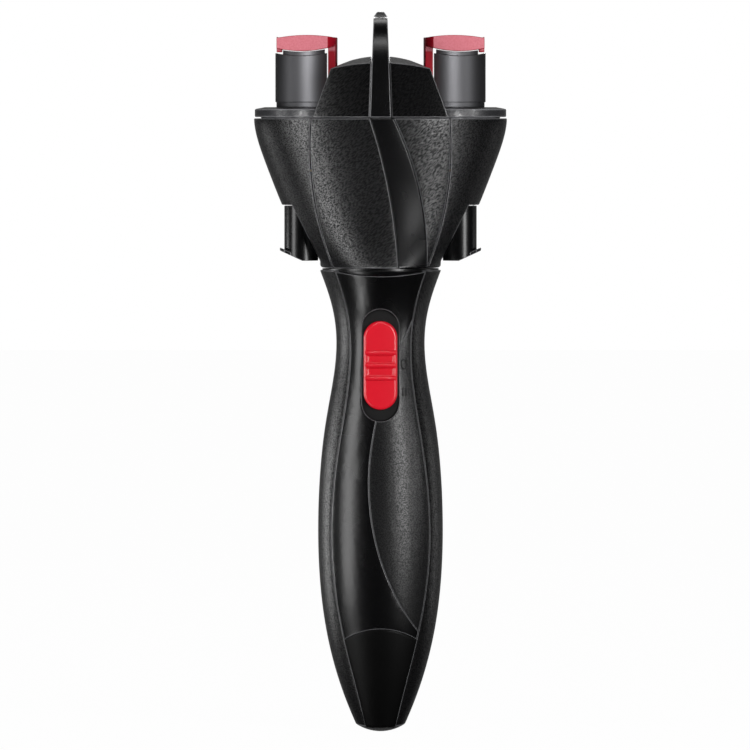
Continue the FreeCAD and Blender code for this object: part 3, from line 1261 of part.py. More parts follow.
def fin_blade(name, grow):
    """A tapering blade that arches over the dome from front to back."""
    foot, top = value("brim_height + parting_gap"), value("fin_top")
    depth = value("brim_half_width - brim_flat + fin_proud") + grow
    rise = top - foot
    front = [(-depth, foot), (-depth * 0.97, foot + rise * 0.4),
             (-depth * 0.8, foot + rise * 0.74),
             (-value("fin_tip_depth"), top - value("fin_bevel"))]
    side = [Vector(0, y, z) for y, z in front]
    back = [Vector(0, -y, z) for y, z in front]
    peak = [Vector(0, sign * value("fin_peak_depth"), top) for sign in (-1, 1)]
    edges = [spline(side), Part.LineSegment(side[-1], peak[0]).toShape(),
             Part.LineSegment(*peak).toShape(), Part.LineSegment(peak[1], back[-1]).toShape(),
             spline(back[::-1]), Part.LineSegment(back[0], side[0]).toShape()]
    reach = value("fin_base_width")
    blade = Part.Face(Part.Wire(edges)).extrude(Vector(2 * reach, 0, 0))
    blade.translate(Vector(-reach, 0, 0))
    wide, narrow = value("fin_base_width / 2") + grow, value("fin_tip_width / 2") + grow
    right = [Vector(wide, 0, foot), Vector(narrow, 0, top - value("fin_bevel")),
             Vector(value("fin_peak_width / 2"), 0, top)]
    corners = right + [Vector(-corner.x, 0, corner.z) for corner in right[::-1]]
    lines = [Part.LineSegment(a, b).toShape() for a, b in zip(corners, corners[1:] + corners[:1])]
    taper = Part.Face(Part.Wire(lines)).extrude(Vector(0, 2 * REACH, 0))
    taper.translate(Vector(0, -REACH, 0))
    return fixed(name, blade.common(taper))


fin_shape = fin_blade("fin_shape", 0.0)
head_fin = cut("head_fin", fin_shape, fin_bed)
deck_screw_ways = fuse("deck_screw_ways", *pegs(
    "deck_screw_way", "screw_head + moving_gap", DECK_TOP,
    DECK_TOP + " + screw_head_height + moving_gap", STANDOFFS))
head_dome = cut("head_dome", fuse("dome_shell", dome_outer, dome_skirt), dome_room,
                deck_screw_ways,
                cut("fin_groove", fin_blade("fin_groove_shape", value("fit_gap")), fin_bed))

# ---------------------------------------------------------------------------------------------
# Check and export
# ---------------------------------------------------------------------------------------------

NODES = [
    handle_front_shell, handle_rear_shell, front_trim, lens_inlay, tip_cover, handle_screws,
    battery_cover, battery_tray, battery_cells, battery_springs, battery_contacts,
    switch_plate, switch_slider, slide_switch, circuit_board,
    motor, gearbox_housing, gearbox_cover, countershaft_pin, motor_pinion, *drive_wheels,
    collar_plate, head_clutch, collar_ring,
    cup_front_panel, cup_rear_panel, cup_side_left, cup_side_right, head_sash, head_dome,
    head_fin, rotor_hub, hub_circlip, shaft_clutch, bearing_plate, deck_plate, head_screws,
    spindle_bushes, idler_pins, drive_shaft, sun_gear,
    *idler_gears.values(), *spindle_gears.values(), *spindle_nodes.values(),
]

doc.recompute()
faults = [thing.Name for thing in doc.Objects
          if any(word in state for state in thing.State for word in ("Invalid", "Error"))]
for node in NODES:
    node.Label = node.Name
    if node.Shape.isNull() or not node.Shape.isValid() or not node.Shape.Solids:
        faults.append(node.Name + " shape")
if faults:
    raise RuntimeError("failed: " + ", ".join(faults))
for node in NODES:
    node.Shape.exportStep(os.path.join("parts", node.Label + ".step"))
print(len(NODES), "nodes written")
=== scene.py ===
# %% [markdown]
# # Automatic hair braider
# A battery handle carries a cup-shaped head that turns. Two posts stand on turntables in the head,
# a red clamp cap sits over each post, and a fin keeps the two strands of hair apart.
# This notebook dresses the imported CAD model. It keeps the solids whose shape is right, gives each
# finish its own node material, and adds the small moulded forms that a solid model leaves out.

# %% Load the frame
import json
import math

import bmesh
import bpy
import numpy as np
from mathutils import Matrix, Vector
from mathutils.bvhtree import BVHTree


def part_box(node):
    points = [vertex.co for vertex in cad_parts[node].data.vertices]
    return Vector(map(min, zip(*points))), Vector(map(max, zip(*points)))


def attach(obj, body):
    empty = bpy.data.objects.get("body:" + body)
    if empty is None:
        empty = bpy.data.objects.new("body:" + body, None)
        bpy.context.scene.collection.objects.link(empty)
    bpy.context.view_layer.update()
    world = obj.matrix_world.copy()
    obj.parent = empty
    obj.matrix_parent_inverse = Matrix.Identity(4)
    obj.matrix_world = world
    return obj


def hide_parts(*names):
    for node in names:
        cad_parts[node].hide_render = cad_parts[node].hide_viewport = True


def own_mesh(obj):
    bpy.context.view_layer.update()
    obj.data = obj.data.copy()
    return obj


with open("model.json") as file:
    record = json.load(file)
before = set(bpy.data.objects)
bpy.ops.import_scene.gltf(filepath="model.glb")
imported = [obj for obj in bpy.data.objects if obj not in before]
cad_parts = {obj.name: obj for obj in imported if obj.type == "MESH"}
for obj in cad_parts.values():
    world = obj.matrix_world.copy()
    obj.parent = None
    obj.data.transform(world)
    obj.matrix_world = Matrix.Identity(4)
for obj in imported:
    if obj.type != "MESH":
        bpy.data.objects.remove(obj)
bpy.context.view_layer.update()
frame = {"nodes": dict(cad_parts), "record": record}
NODES = frame["nodes"]
RECORD = frame["record"]
MM = 0.001
BODY_OF = {node: body for body, nodes in RECORD["behaviour"]["bodies"].items() for node in nodes}
SLOT_OF = {part["node"]: part["material_slot"] for part in RECORD["subparts"]}

# %% [markdown]
# ## Camera
# The braider is seen square from the front. A short lens would make the turntables look like
# ellipses and the handle taper, so a very long lens stands far away and upright lines stay
# parallel. One pixel of the 750 pixel frame covers 0.375 mm, and the rotor axis stands a little
# to the right of the middle.

# %% Camera
FRAME_PIXELS = 750
PIXEL = 0.375 * MM
AXIS_COLUMN, FOOT_ROW = 380.5, 731.5
CAMERA_REACH, CAMERA_RISE = 4.0, math.radians(1.5)
SENSOR, FAR_CLIP = 36.0, 20
middle = FRAME_PIXELS / 2
aim = Vector(((middle - AXIS_COLUMN) * PIXEL, 0, (FOOT_ROW - middle) * PIXEL))
camera_data = bpy.data.cameras.new("long_lens")
camera_data.sensor_width = SENSOR
camera_data.lens = SENSOR * CAMERA_REACH / (FRAME_PIXELS * PIXEL)
camera_data.clip_end = FAR_CLIP
camera = bpy.data.objects.new("camera", camera_data)
camera.location = aim + CAMERA_REACH * Vector((0, -math.cos(CAMERA_RISE), math.sin(CAMERA_RISE)))
camera.rotation_euler = (math.pi / 2 - CAMERA_RISE, 0, 0)
bpy.context.scene.collection.objects.link(camera)
bpy.context.scene.camera = camera
print("lens", round(camera_data.lens), "mm")

# %% [markdown]
# ## Colour and node helpers
# Colours are written as the hex values that a screen shows. Blender mixes light in linear values,
# so one function turns hex into linear. Another function adds a node, sets its inputs and links
# it, which keeps every material short.


# %% Helpers for materials
def linear(text):
    """Turn an sRGB hex colour into Blender's linear colour."""
    parts = [int(text[start:start + 2], 16) / 255 for start in (1, 3, 5)]
    return tuple(p / 12.92 if p <= 0.04045 else ((p + 0.055) / 1.055) ** 2.4 for p in parts) + (1,)


def add(tree, kind, inputs=None, **settings):
    """Add a node: inputs holds values or output sockets by input name or number."""
    node = tree.nodes.new(kind)
    for key, setting in settings.items():
        setattr(node, key, setting)
    for key, given in (inputs or {}).items():
        if isinstance(given, bpy.types.NodeSocket):
            tree.links.new(given, node.inputs[key])
        else:
            node.inputs[key].default_value = given
    return node


def start_material(name):
    """An empty node material with its tree and the object coordinates."""
    material = bpy.data.materials.new(name)
    material.use_nodes = True
    tree = material.node_tree
    tree.nodes.clear()
    place = add(tree, "ShaderNodeTexCoord").outputs["Object"]
    return material, tree, place


print("middle grey #808080 is", round(linear("#808080")[0], 3), "in linear light")

# %% [markdown]
# ## Spark-eroded ABS
# The grips and the cup are ABS plastic moulded in a spark-eroded tool. That leaves a grain of short
# slanting strokes, which breaks the highlight into specks. The strokes are about 0.3 mm wide and
# four to five times as long. They could be modelled as real dents, but that takes millions of
# faces, so noise stretched along the slant drives the bump instead. Their crests are burnished and
# their troughs are matt, so the specular level follows the same noise.

# %% Textured black ABS
GRAIN = 0.3 * MM
GRAIN_SLANT, GRAIN_STRETCH = math.radians(38), 4.5
BLOTCH = 6 * GRAIN
BLOTCH_TONE = 1.5
NOISE_LOW, NOISE_HIGH = 0.3, 0.7
CREST_LOW, CREST_HIGH = 0.38, 0.62
ABS_IOR, ABS_SHINE, ABS_UNEVEN = 1.54, 0.45, 0.06


def grain_height(tree, place, size, stretch):
    """Noise drawn out along a slant in the XZ plane."""
    turned = add(tree, "ShaderNodeMapping", {"Vector": place, "Rotation": (0, GRAIN_SLANT, 0)})
    scaled = add(tree, "ShaderNodeMapping", {
        "Vector": turned.outputs[0], "Scale": (1 / (size * stretch), 1 / size, 1 / size)})
    noise = add(tree, "ShaderNodeTexNoise", {
        "Vector": scaled.outputs[0], "Scale": 1.0, "Detail": 0.0})
    return noise.outputs[0]


def textured_abs(name, colour, roughness, depth, size=GRAIN, stretch=GRAIN_STRETCH, glint=0.28):
    """Grained plastic: depth is the grain's height and glint how far crest and trough differ."""
    material, tree, place = start_material(name)
    strokes = grain_height(tree, place, size, stretch)
    bump = add(tree, "ShaderNodeBump", {"Strength": 1.0, "Distance": depth, "Height": strokes})
    rough = add(tree, "ShaderNodeMapRange", {
        "Value": strokes, "From Min": NOISE_LOW, "From Max": NOISE_HIGH,
        "To Min": roughness + ABS_UNEVEN, "To Max": roughness - ABS_UNEVEN})
    shine = add(tree, "ShaderNodeMapRange", {
        "Value": strokes, "From Min": CREST_LOW, "From Max": CREST_HIGH,
        "To Min": ABS_SHINE - glint, "To Max": ABS_SHINE + glint})
    blotches = add(tree, "ShaderNodeTexNoise", {
        "Vector": place, "Scale": 1 / BLOTCH, "Detail": 2.0})
    dark = linear(colour)
    pale = tuple(BLOTCH_TONE * part for part in dark[:3]) + (1,)
    tone = add(tree, "ShaderNodeMix", {0: blotches.outputs[0], 6: dark, 7: pale},
               data_type="RGBA")
    shader = add(tree, "ShaderNodeBsdfPrincipled", {
        "Base Color": tone.outputs[2], "Roughness": rough.outputs[0],
        "Specular IOR Level": shine.outputs[0], "Normal": bump.outputs[0], "IOR": ABS_IOR})
    add(tree, "ShaderNodeOutputMaterial", {"Surface": shader.outputs[0]})
    return material


print("grain", GRAIN / MM, "mm wide,", round(GRAIN * GRAIN_STRETCH / MM, 2), "mm long")

# %% [markdown]
# ## Polished plastics
# The trim, the sash, the fin and the push tabs come from a polished tool. Their surface reflects
# a lamp as a broad soft streak. A perfectly even gloss looks drawn rather than moulded, so two
# slow noises add what every large moulding has: faint waves that bend the streak, and a haze that
# widens it here and there. Acetal gears, the cells' sleeve and the circuit board use it too.

# %% Gloss plastics
WAVE, HAZE = 16.7 * MM, 11.1 * MM
WAVE_HEIGHT = 0.004 * MM
HAZE_SHARE = 0.03
GLOSS_IOR, COAT_ROUGHNESS = 1.5, 0.08


def polished_plastic(name, colour, roughness, coat=0.0, shine=0.5):
    """Glossy plastic: coat is a share of clear lacquer, shine scales its reflection."""
    material, tree, place = start_material(name)
    wave = add(tree, "ShaderNodeTexNoise", {"Vector": place, "Scale": 1 / WAVE, "Detail": 1.0})
    bump = add(tree, "ShaderNodeBump", {
        "Strength": 1.0, "Distance": WAVE_HEIGHT, "Height": wave.outputs[0]})
    haze = add(tree, "ShaderNodeTexNoise", {"Vector": place, "Scale": 1 / HAZE, "Detail": 1.0})
    rough = add(tree, "ShaderNodeMapRange", {
        "Value": haze.outputs[0], "From Min": NOISE_LOW, "From Max": NOISE_HIGH,
        "To Min": roughness * (1 - HAZE_SHARE), "To Max": roughness * (1 + HAZE_SHARE)})
    shader = add(tree, "ShaderNodeBsdfPrincipled", {
        "Base Color": linear(colour), "Roughness": rough.outputs[0], "Normal": bump.outputs[0],
        "IOR": GLOSS_IOR, "Specular IOR Level": shine, "Coat Weight": coat,
        "Coat Roughness": COAT_ROUGHNESS})
    add(tree, "ShaderNodeOutputMaterial", {"Surface": shader.outputs[0]})
    return material


print("waves every", round(WAVE / MM, 1), "mm,", WAVE_HEIGHT / MM, "mm high")

# %% [markdown]
# ## Clamp caps with a painted sheen
# The front and rear faces of a clamp cap are frosted so that hair doesn't slip on them, and they
# are painted pink: a painted reflection that washes out the red there, while the sides keep a
# deep satin red. Two materials on picked faces would do, but the pink and the frost fade over
# the rounded edges, so one material tells the faces apart by their normal in the piece's own
# coordinates. The painted sheen and the frost stop where the leg of the cap begins. Real pits
# are finer than a pixel, so they are drawn coarser, at 0.7 mm, to show as specks.

# %% Red ABS with a painted sheen
CAP_CROWN, FROST_AND_SHEEN_FADE = 6.3 * MM, 0.8 * MM
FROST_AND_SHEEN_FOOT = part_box("clamp_cap_left")[1].z - CAP_CROWN
FACING_LOW, FACING_HIGH = 0.75, 0.97
SPECK_LOW, SPECK_HIGH, SPECK_LEAST = 0.35, 0.65, 0.8
SATIN_ROUGHNESS, FROST_ROUGHNESS = 0.32, 0.6
FROST_GRAIN, FROST_DEPTH = 0.714 * MM, 0.02 * MM
# the pink is a painted reflection on the front and rear faces; the satin red is the cap's base
# colour
SATIN_RED, PAINTED_SHEEN_PINK = "#ae1226", "#d87a86"


def red_abs_with_painted_sheen():
    material, tree, place = start_material("red_abs_with_painted_sheen")
    normal = add(tree, "ShaderNodeTexCoord").outputs["Normal"]
    forward = add(tree, "ShaderNodeSeparateXYZ", {0: normal}).outputs[1]
    facing = add(tree, "ShaderNodeMath", {0: forward}, operation="ABSOLUTE")
    face = add(tree, "ShaderNodeMapRange", {
        "Value": facing.outputs[0], "From Min": FACING_LOW, "From Max": FACING_HIGH})
    height = add(tree, "ShaderNodeSeparateXYZ", {0: place}).outputs[2]
    crown = add(tree, "ShaderNodeMapRange", {
        "Value": height, "From Min": FROST_AND_SHEEN_FOOT, "From Max": FROST_AND_SHEEN_FOOT + FROST_AND_SHEEN_FADE})
    frost_and_painted_sheen = add(tree, "ShaderNodeMath", {0: face.outputs[0], 1: crown.outputs[0]},
                operation="MULTIPLY")
    pits = add(tree, "ShaderNodeTexNoise", {
        "Vector": place, "Scale": 1 / FROST_GRAIN, "Detail": 2.0})
    speck = add(tree, "ShaderNodeMapRange", {
        "Value": pits.outputs[0], "From Min": SPECK_LOW, "From Max": SPECK_HIGH,
        "To Min": SPECK_LEAST, "To Max": 1.0})
    share = add(tree, "ShaderNodeMath", {0: frost_and_painted_sheen.outputs[0], 1: speck.outputs[0]},
                operation="MULTIPLY")
    # painted reflection: the front and rear faces above the leg are painted pink, broken into
    # specks
    tone = add(tree, "ShaderNodeMix", {
        0: share.outputs[0], 6: linear(SATIN_RED), 7: linear(PAINTED_SHEEN_PINK)}, data_type="RGBA")
    bump = add(tree, "ShaderNodeBump", {
        "Strength": 1.0, "Distance": FROST_DEPTH, "Height": pits.outputs[0]})
    rough = add(tree, "ShaderNodeMapRange", {
        "Value": frost_and_painted_sheen.outputs[0], "To Min": SATIN_ROUGHNESS, "To Max": FROST_ROUGHNESS})
    shader = add(tree, "ShaderNodeBsdfPrincipled", {
        "Base Color": tone.outputs[2], "Roughness": rough.outputs[0],
        "Normal": bump.outputs[0], "IOR": ABS_IOR})
    add(tree, "ShaderNodeOutputMaterial", {"Surface": shader.outputs[0]})
    return material


print("frost starts", round(FROST_AND_SHEEN_FOOT / MM, 1), "mm above the ground")

# %% [markdown]
# ## Metals
# The posts carry a dark metallic lacquer: metal flakes under clear resin, bright where they face
# the light. Shafts, screws, springs and the motor can are plain steel, and the motor pinion and
# the spindle bushes are brass. Turning and drawing leave fine marks along the piece, so a noise
# ten times longer than wide roughens the metal. Real marks are a few hundredths of a millimetre
# wide and wouldn't show, so they are drawn about a millimetre wide. A Bevel node rounds the edges
# in the shading only, because most of these small pieces keep the solid's own mesh.

# %% Metals and lacquer
EDGE_ROUND = 0.2 * MM
MARK_WIDTH, MARK_LENGTH = 1.11 * MM, 11.1 * MM
MARK_DEPTH = 0.02 * MM


def metal(name, colour, roughness, metallic=1.0, depth=MARK_DEPTH, spread=0.2):
    """Metal with fine marks: spread is the share by which its roughness varies."""
    material, tree, place = start_material(name)
    streak = add(tree, "ShaderNodeMapping", {
        "Vector": place, "Scale": (1 / MARK_WIDTH, 1 / MARK_WIDTH, 1 / MARK_LENGTH)})
    marks = add(tree, "ShaderNodeTexNoise", {
        "Vector": streak.outputs[0], "Scale": 1.0, "Detail": 2.0})
    edge = add(tree, "ShaderNodeBevel", {"Radius": EDGE_ROUND}, samples=4)
    bump = add(tree, "ShaderNodeBump", {
        "Strength": 1.0, "Distance": depth, "Height": marks.outputs[0],
        "Normal": edge.outputs[0]})
    rough = add(tree, "ShaderNodeMapRange", {
        "Value": marks.outputs[0], "From Min": NOISE_LOW, "From Max": NOISE_HIGH,
        "To Min": roughness * (1 - spread), "To Max": roughness * (1 + spread)})
    shader = add(tree, "ShaderNodeBsdfPrincipled", {
        "Base Color": linear(colour), "Metallic": metallic, "Roughness": rough.outputs[0],
        "Normal": bump.outputs[0]})
    add(tree, "ShaderNodeOutputMaterial", {"Surface": shader.outputs[0]})
    return material


print("drawing marks", MARK_WIDTH / MM, "mm wide and", MARK_LENGTH / MM, "mm long")

# %% [markdown]
# ## Finishes
# Each material slot of the record gets one finish, so the solids could be painted by slot alone.
# The pieces that show get a closer match, such as a satin lens, or edge strips painted paler as a
# painted highlight, and those finishes stand in the same table under names of their own. Inside,
# the nylon frame is matt and dark, acetal is milky white with a soft gloss, and the foil sleeve of
# the cells and the solder mask of the board shine. The satin of the lens is finer than a pixel and
# is drawn 0.4 mm wide.

# %% Finishes by name
FINE_GRAIN, SATIN_GRAIN = 0.02 * MM, 0.4 * MM
MATERIALS = {
    "black_textured": textured_abs("spark_eroded_black_abs", "#060607", 0.36, 0.055 * MM),
    "black_gloss": polished_plastic("polished_black_abs", "#030304", 0.27),
    "red_gloss": polished_plastic("polished_red_abs", "#d8142c", 0.3, coat=0.3),
    "post_grey": metal("dark_metallic_lacquer", "#4a4a4c", 0.56, 0.95, 0.0, 0.02),
    "steel": metal("drawn_steel", "#b4b4b8", 0.3),
    "brass": metal("turned_brass", "#c9a14e", 0.28),
    "frame_plastic": textured_abs("moulded_frame_nylon", "#1a1a1c", 0.5, FINE_GRAIN, glint=0.1),
    "gear_plastic": polished_plastic("moulded_white_acetal", "#e4e2da", 0.38),
    "cell_sleeve": polished_plastic("shrink_sleeve_foil", "#3b4048", 0.25),
    "switch_body": polished_plastic("moulded_switch_housing", "#202022", 0.45),
    "board_green": polished_plastic("solder_mask_laminate", "#1f6a3c", 0.35),
    "turntable_abs": textured_abs("fine_grained_turntable_abs", "#1c1c1e", 0.4, FINE_GRAIN,
                                  glint=0.12),
    "lens_abs": textured_abs("satin_black_abs", "#0b0b0c", 0.38, FINE_GRAIN, SATIN_GRAIN, 1.0,
                             0.15),
    # edge strips painted paler than the faces beside them: a painted highlight, with a smoother
    # gloss
    "painted_edge_highlight": polished_plastic("edge_abs_with_painted_highlight", "#5c5c5e", 0.22),
    "recess_abs": polished_plastic("satin_recess_abs", "#0b0b0c", 0.42),
    "tip_abs": polished_plastic("satin_tip_abs", "#030303", 0.42, shine=0.2),
    "mark_ink": polished_plastic("raised_black_mark", "#020202", 0.5),
    "clamp_red": red_abs_with_painted_sheen(),
    "slider_red": polished_plastic("bright_red_abs", "#cc1024", 0.24, coat=0.2),
}


def paint(mesh, *finishes):
    mesh.materials.clear()
    for finish in finishes:
        mesh.materials.append(MATERIALS[finish])


for node, solid in NODES.items():
    paint(solid.data, SLOT_OF[node])
print(len(MATERIALS), "finishes")

# %% [markdown]
# ## Pieces that take a solid's place
# A dressed piece could be glued to its solid, but then both would show. So it rides on the same
# body and hides the solid that it stands for. Modifiers are worked into a plain mesh first, so
# that a piece holds its mesh as it will be seen.

# %% Helpers for pieces
DRESSED = {}


def place_piece(name, mesh):
    piece = bpy.data.objects.new(name, mesh)
    bpy.context.scene.collection.objects.link(piece)
    return piece


def plain_mesh(piece):
    """The mesh of an object with its modifiers worked in."""
    bpy.context.view_layer.update()
    seen = piece.evaluated_get(bpy.context.evaluated_depsgraph_get())
    return bpy.data.meshes.new_from_object(seen)


def settle(piece):
    mesh = plain_mesh(piece)
    piece.modifiers.clear()
    piece.data = mesh


def kept(form, name):
    """Keep a bmesh as a smooth mesh."""
    mesh = bpy.data.meshes.new(name)
    form.to_mesh(mesh)
    form.free()
    mesh.shade_smooth()
    return mesh


def carry(piece, node, body=None):
    """Let a finished piece ride on a body, by default the one of a solid."""
    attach(piece, body or BODY_OF[node])


def stand_for(piece, node, body=None):
    carry(piece, node, body)
    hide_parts(node)
    DRESSED[node] = piece


def tree_of(node):
    """A search tree over a solid's faces."""
    return BVHTree.FromObject(NODES[node], bpy.context.evaluated_depsgraph_get())


print("slots in the record:", ", ".join(sorted(set(SLOT_OF.values()))))

# %% [markdown]
# ## Mould-rounded edges
# A moulded part never has a knife edge: the tool maker leaves a small radius, and that radius
# catches the light as a thin bright line along every seam. The radius could be a fillet in the
# solids, but it is finer than they need. The imported solids are loose triangles, so each one is
# copied, its points are merged and its flat faces joined. A Bevel modifier then rounds the edges
# that are sharper than a chosen angle. On most black pieces the rounded strips get a finish of
# their own, smoother than the face beside them and painted paler: a painted highlight on the line.

# %% Rounded copies
WELD, FLAT = 0.003 * MM, math.radians(0.3)
SHARP, RADIUS_STEPS, STRAY = math.radians(32), 2, 0.6
PAINTED_EDGE_HIGHLIGHT_ON = ("black_textured", "black_gloss", "lens_abs", "turntable_abs")


def welded(node):
    """A copy of a solid's mesh with merged points and joined flat faces."""
    form = bmesh.new()
    form.from_mesh(NODES[node].data)
    bmesh.ops.remove_doubles(form, verts=form.verts, dist=WELD)
    bmesh.ops.dissolve_degenerate(form, edges=form.edges, dist=WELD)
    bmesh.ops.dissolve_limit(form, angle_limit=FLAT, verts=form.verts, edges=form.edges)
    return kept(form, node + "_form")


def draw_back(piece, node, reach):
    """Bring points that a bevel threw far off a solid back to its surface, and count them."""
    strays = 0
    surface = tree_of(node)
    for vertex in piece.data.vertices:
        nearest, normal, face, distance = surface.find_nearest(vertex.co)
        if distance > reach:
            vertex.co = nearest
            strays += 1
    return strays


def rounded(node, radius, finish):
    """Swap a solid for its welded copy with rounded edges."""
    piece = place_piece(node + "_moulded", welded(node))
    edge = piece.modifiers.new("mould_radius", "BEVEL")
    edge.width, edge.segments = radius * MM, RADIUS_STEPS
    edge.limit_method, edge.angle_limit = "ANGLE", SHARP
    edge.use_clamp_overlap = False
    edge.miter_outer = "MITER_ARC"
    weighted = piece.modifiers.new("even_normals", "WEIGHTED_NORMAL")
    weighted.mode, weighted.keep_sharp = "FACE_AREA_WITH_ANGLE", True
    paint(piece.data, finish)
    # the rounded strips of these finishes are painted paler, a painted highlight along the edges
    if finish in PAINTED_EDGE_HIGHLIGHT_ON:
        paint(piece.data, finish, "painted_edge_highlight")
        edge.material = 1
    settle(piece)
    strays = draw_back(piece, node, STRAY * radius * MM)
    stand_for(piece, node)
    print(piece.name, len(piece.data.polygons), "faces,", strays, "stray points drawn back")


# %% Radius and finish of each moulding
MOULD_RADIUS = {
    "handle_front_shell": 0.3, "handle_rear_shell": 0.3, "battery_cover": 0.3,
    "front_trim": 0.25, "lens_inlay": 0.2, "tip_cover": 0.3, "switch_plate": 0.15,
    "cup_front_panel": 0.3, "cup_rear_panel": 0.3, "cup_side_left": 0.3, "cup_side_right": 0.3,
    "head_dome": 0.35, "head_fin": 0.35,
    "turntable_left": 0.4, "turntable_right": 0.4, "post_left": 0.2, "post_right": 0.2,
    "clamp_cap_left": 0.3, "clamp_cap_right": 0.3, "push_tab_left": 0.2,
    "push_tab_right": 0.2,
}
CLOSER_FINISH = {
    "turntable_left": "turntable_abs", "turntable_right": "turntable_abs",
    "clamp_cap_left": "clamp_red", "clamp_cap_right": "clamp_red",
    "lens_inlay": "lens_abs", "switch_plate": "recess_abs", "tip_cover": "tip_abs",
}
for node, radius in MOULD_RADIUS.items():
    rounded(node, radius, CLOSER_FINISH.get(node, SLOT_OF[node]))

# %% [markdown]
# ## Polished lip
# Above the trim the front housing ends in a narrow lip, which is polished like the trim. It is one
# moulding with the grained sides, so the faces in front of it are picked by their place and get
# the gloss finish, and the piece stays whole.

# %% Polished lip
LIP_FOOT, LIP_HALF, LIP_FACING = 170.4 * MM, 15.4 * MM, -0.3
shell = DRESSED["handle_front_shell"].data
shell.materials.append(MATERIALS["black_gloss"])
polished = 0
for face in shell.polygons:
    spot = face.center
    if spot.z > LIP_FOOT and abs(spot.x) < LIP_HALF and face.normal.y < LIP_FACING:
        face.material_index = len(shell.materials) - 1
        polished += 1
print(polished, "faces of the lip above the trim are polished")

# %% [markdown]
# ## Shapes from rows of points
# The sash and the slider are smooth forms that a rule describes, so each is worked out as rows of
# points with faces between them. Both helpers serve a surface that looks forwards: one fills the
# faces, and the other finds where a ray from the front meets a solid.

# %% Helpers for rows of points
IN_FRONT = -100 * MM


def fill_rows(form, rows):
    """Faces between neighbouring rows of points."""
    for low, high in zip(rows, rows[1:]):
        for spot in range(len(low) - 1):
            form.faces.new((low[spot], low[spot + 1], high[spot + 1], high[spot]))


def front_at(surface, x, z):
    """Where a ray from the front meets a surface, or None."""
    return surface.ray_cast(Vector((x, IN_FRONT, z)), Vector((0, 1, 0)))[0]


print("rays start", -IN_FRONT / MM, "mm in front of the axis")

# %% [markdown]
# ## Sash
# The polished band on the cup's front shows every flaw in its reflection, and the facets of the
# solid would break the streak. More facets would only make them smaller, so the band gets a
# surface of its own. A low-order polynomial is fitted to the solid's front face, which keeps its
# place and leaves out the facets. The band lies between two curves, and its long edges are
# rounded off.

# %% Sash surface
SASH_HEIGHTS = (173.0, 203.0, 230.9)
SASH_LEFT, SASH_RIGHT = (6.7, 3.1, -4.2), (17.2, 14.4, 4.4)
SASH_MIDDLE, SASH_ALONG, SASH_ACROSS = 202, 28, 10
TERMS_ACROSS, TERMS_ALONG = 4, 5
SAMPLES_ALONG, SAMPLES_ACROSS = 60, 16
END_MARGIN, SIDE_MARGIN = 0.2, 0.04
sash_low, sash_high = (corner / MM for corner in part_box("head_sash"))
left_edge = np.polyfit(SASH_HEIGHTS, SASH_LEFT, 2)
right_edge = np.polyfit(SASH_HEIGHTS, SASH_RIGHT, 2)


def sash_terms(x, z):
    """Polynomial terms in the place across and along the band."""
    u, v = x / SASH_ACROSS, (z - SASH_MIDDLE) / SASH_ALONG
    return [u ** i * v ** j for i in range(TERMS_ACROSS) for j in range(TERMS_ALONG)]


sash_face = tree_of("head_sash")
samples, depths = [], []
for z in np.linspace(sash_low.z + END_MARGIN, sash_high.z - END_MARGIN, SAMPLES_ALONG):
    for share in np.linspace(SIDE_MARGIN, 1 - SIDE_MARGIN, SAMPLES_ACROSS):
        x = np.polyval(left_edge, z) * (1 - share) + np.polyval(right_edge, z) * share
        hit = front_at(sash_face, x * MM, z * MM)
        if hit:
            samples.append(sash_terms(x, z))
            depths.append(hit.y / MM)
fit = np.linalg.lstsq(np.array(samples), np.array(depths), rcond=None)[0]
miss = np.abs(np.array(samples) @ fit - depths).max()
print("sash surface leaves the solid by at most", round(float(miss), 3), "mm")

# %% Sash band
SASH_ROWS, SASH_COLUMNS = 90, 30
SASH_RIM, SASH_DEPTH = 0.4, 0.9
band = bmesh.new()
rows = []
for z in np.linspace(sash_low.z, sash_high.z, SASH_ROWS + 1):
    left, right = np.polyval(left_edge, z), np.polyval(right_edge, z)
    line = []
    for column in range(SASH_COLUMNS + 1):
        share = (1 - math.cos(math.pi * column / SASH_COLUMNS)) / 2
        inset = (right - left) * min(share, 1 - share)
        drop = SASH_RIM - math.sqrt(SASH_RIM ** 2 - max(SASH_RIM - inset, 0) ** 2)
        x = left + (right - left) * share
        y = float(np.dot(sash_terms(x, z), fit)) + drop
        line.append(band.verts.new((x * MM, y * MM, z * MM)))
    rows.append(line)
fill_rows(band, rows)
sash = place_piece("head_sash_band", kept(band, "head_sash_band"))
skin = sash.modifiers.new("skin", "SOLIDIFY")
skin.thickness, skin.offset = SASH_DEPTH * MM, -1
settle(sash)
paint(sash.data, SLOT_OF["head_sash"])
stand_for(sash, "head_sash")
print("sash", len(sash.data.polygons), "faces")

# %% [markdown]
# ## Slide switch
# The red thumb piece is a long pill of polished ABS. Its face is slightly crowned, its rim is
# rounded, two shallow pockets cross it, and three rounded ridges give the thumb a grip. Cutting
# the pockets with booleans would leave creases, so the pill is a height field over a stadium
# outline, which keeps the highlights smooth. Its rows lie closer together towards the ends, where
# the outline turns.

# %% Slider face
SWITCH_LOW, SWITCH_HIGH = (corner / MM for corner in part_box("switch_slider"))
PILL_HALF = (SWITCH_HIGH.x - SWITCH_LOW.x) / 2
PILL_REACH = (SWITCH_HIGH.z - SWITCH_LOW.z) / 2
PILL_MIDDLE = (SWITCH_HIGH.z + SWITCH_LOW.z) / 2
PILL_FACE, PILL_BACK = -17.7, -15.6
PILL_RIM, PILL_CROWN = 1.1, 0.35
RIDGE_PITCH = 4.75
POCKET_DEPTH, POCKET_HALF, POCKET_HEIGHT, POCKET_WALL = 0.55, 4.9, 2.7, 0.3


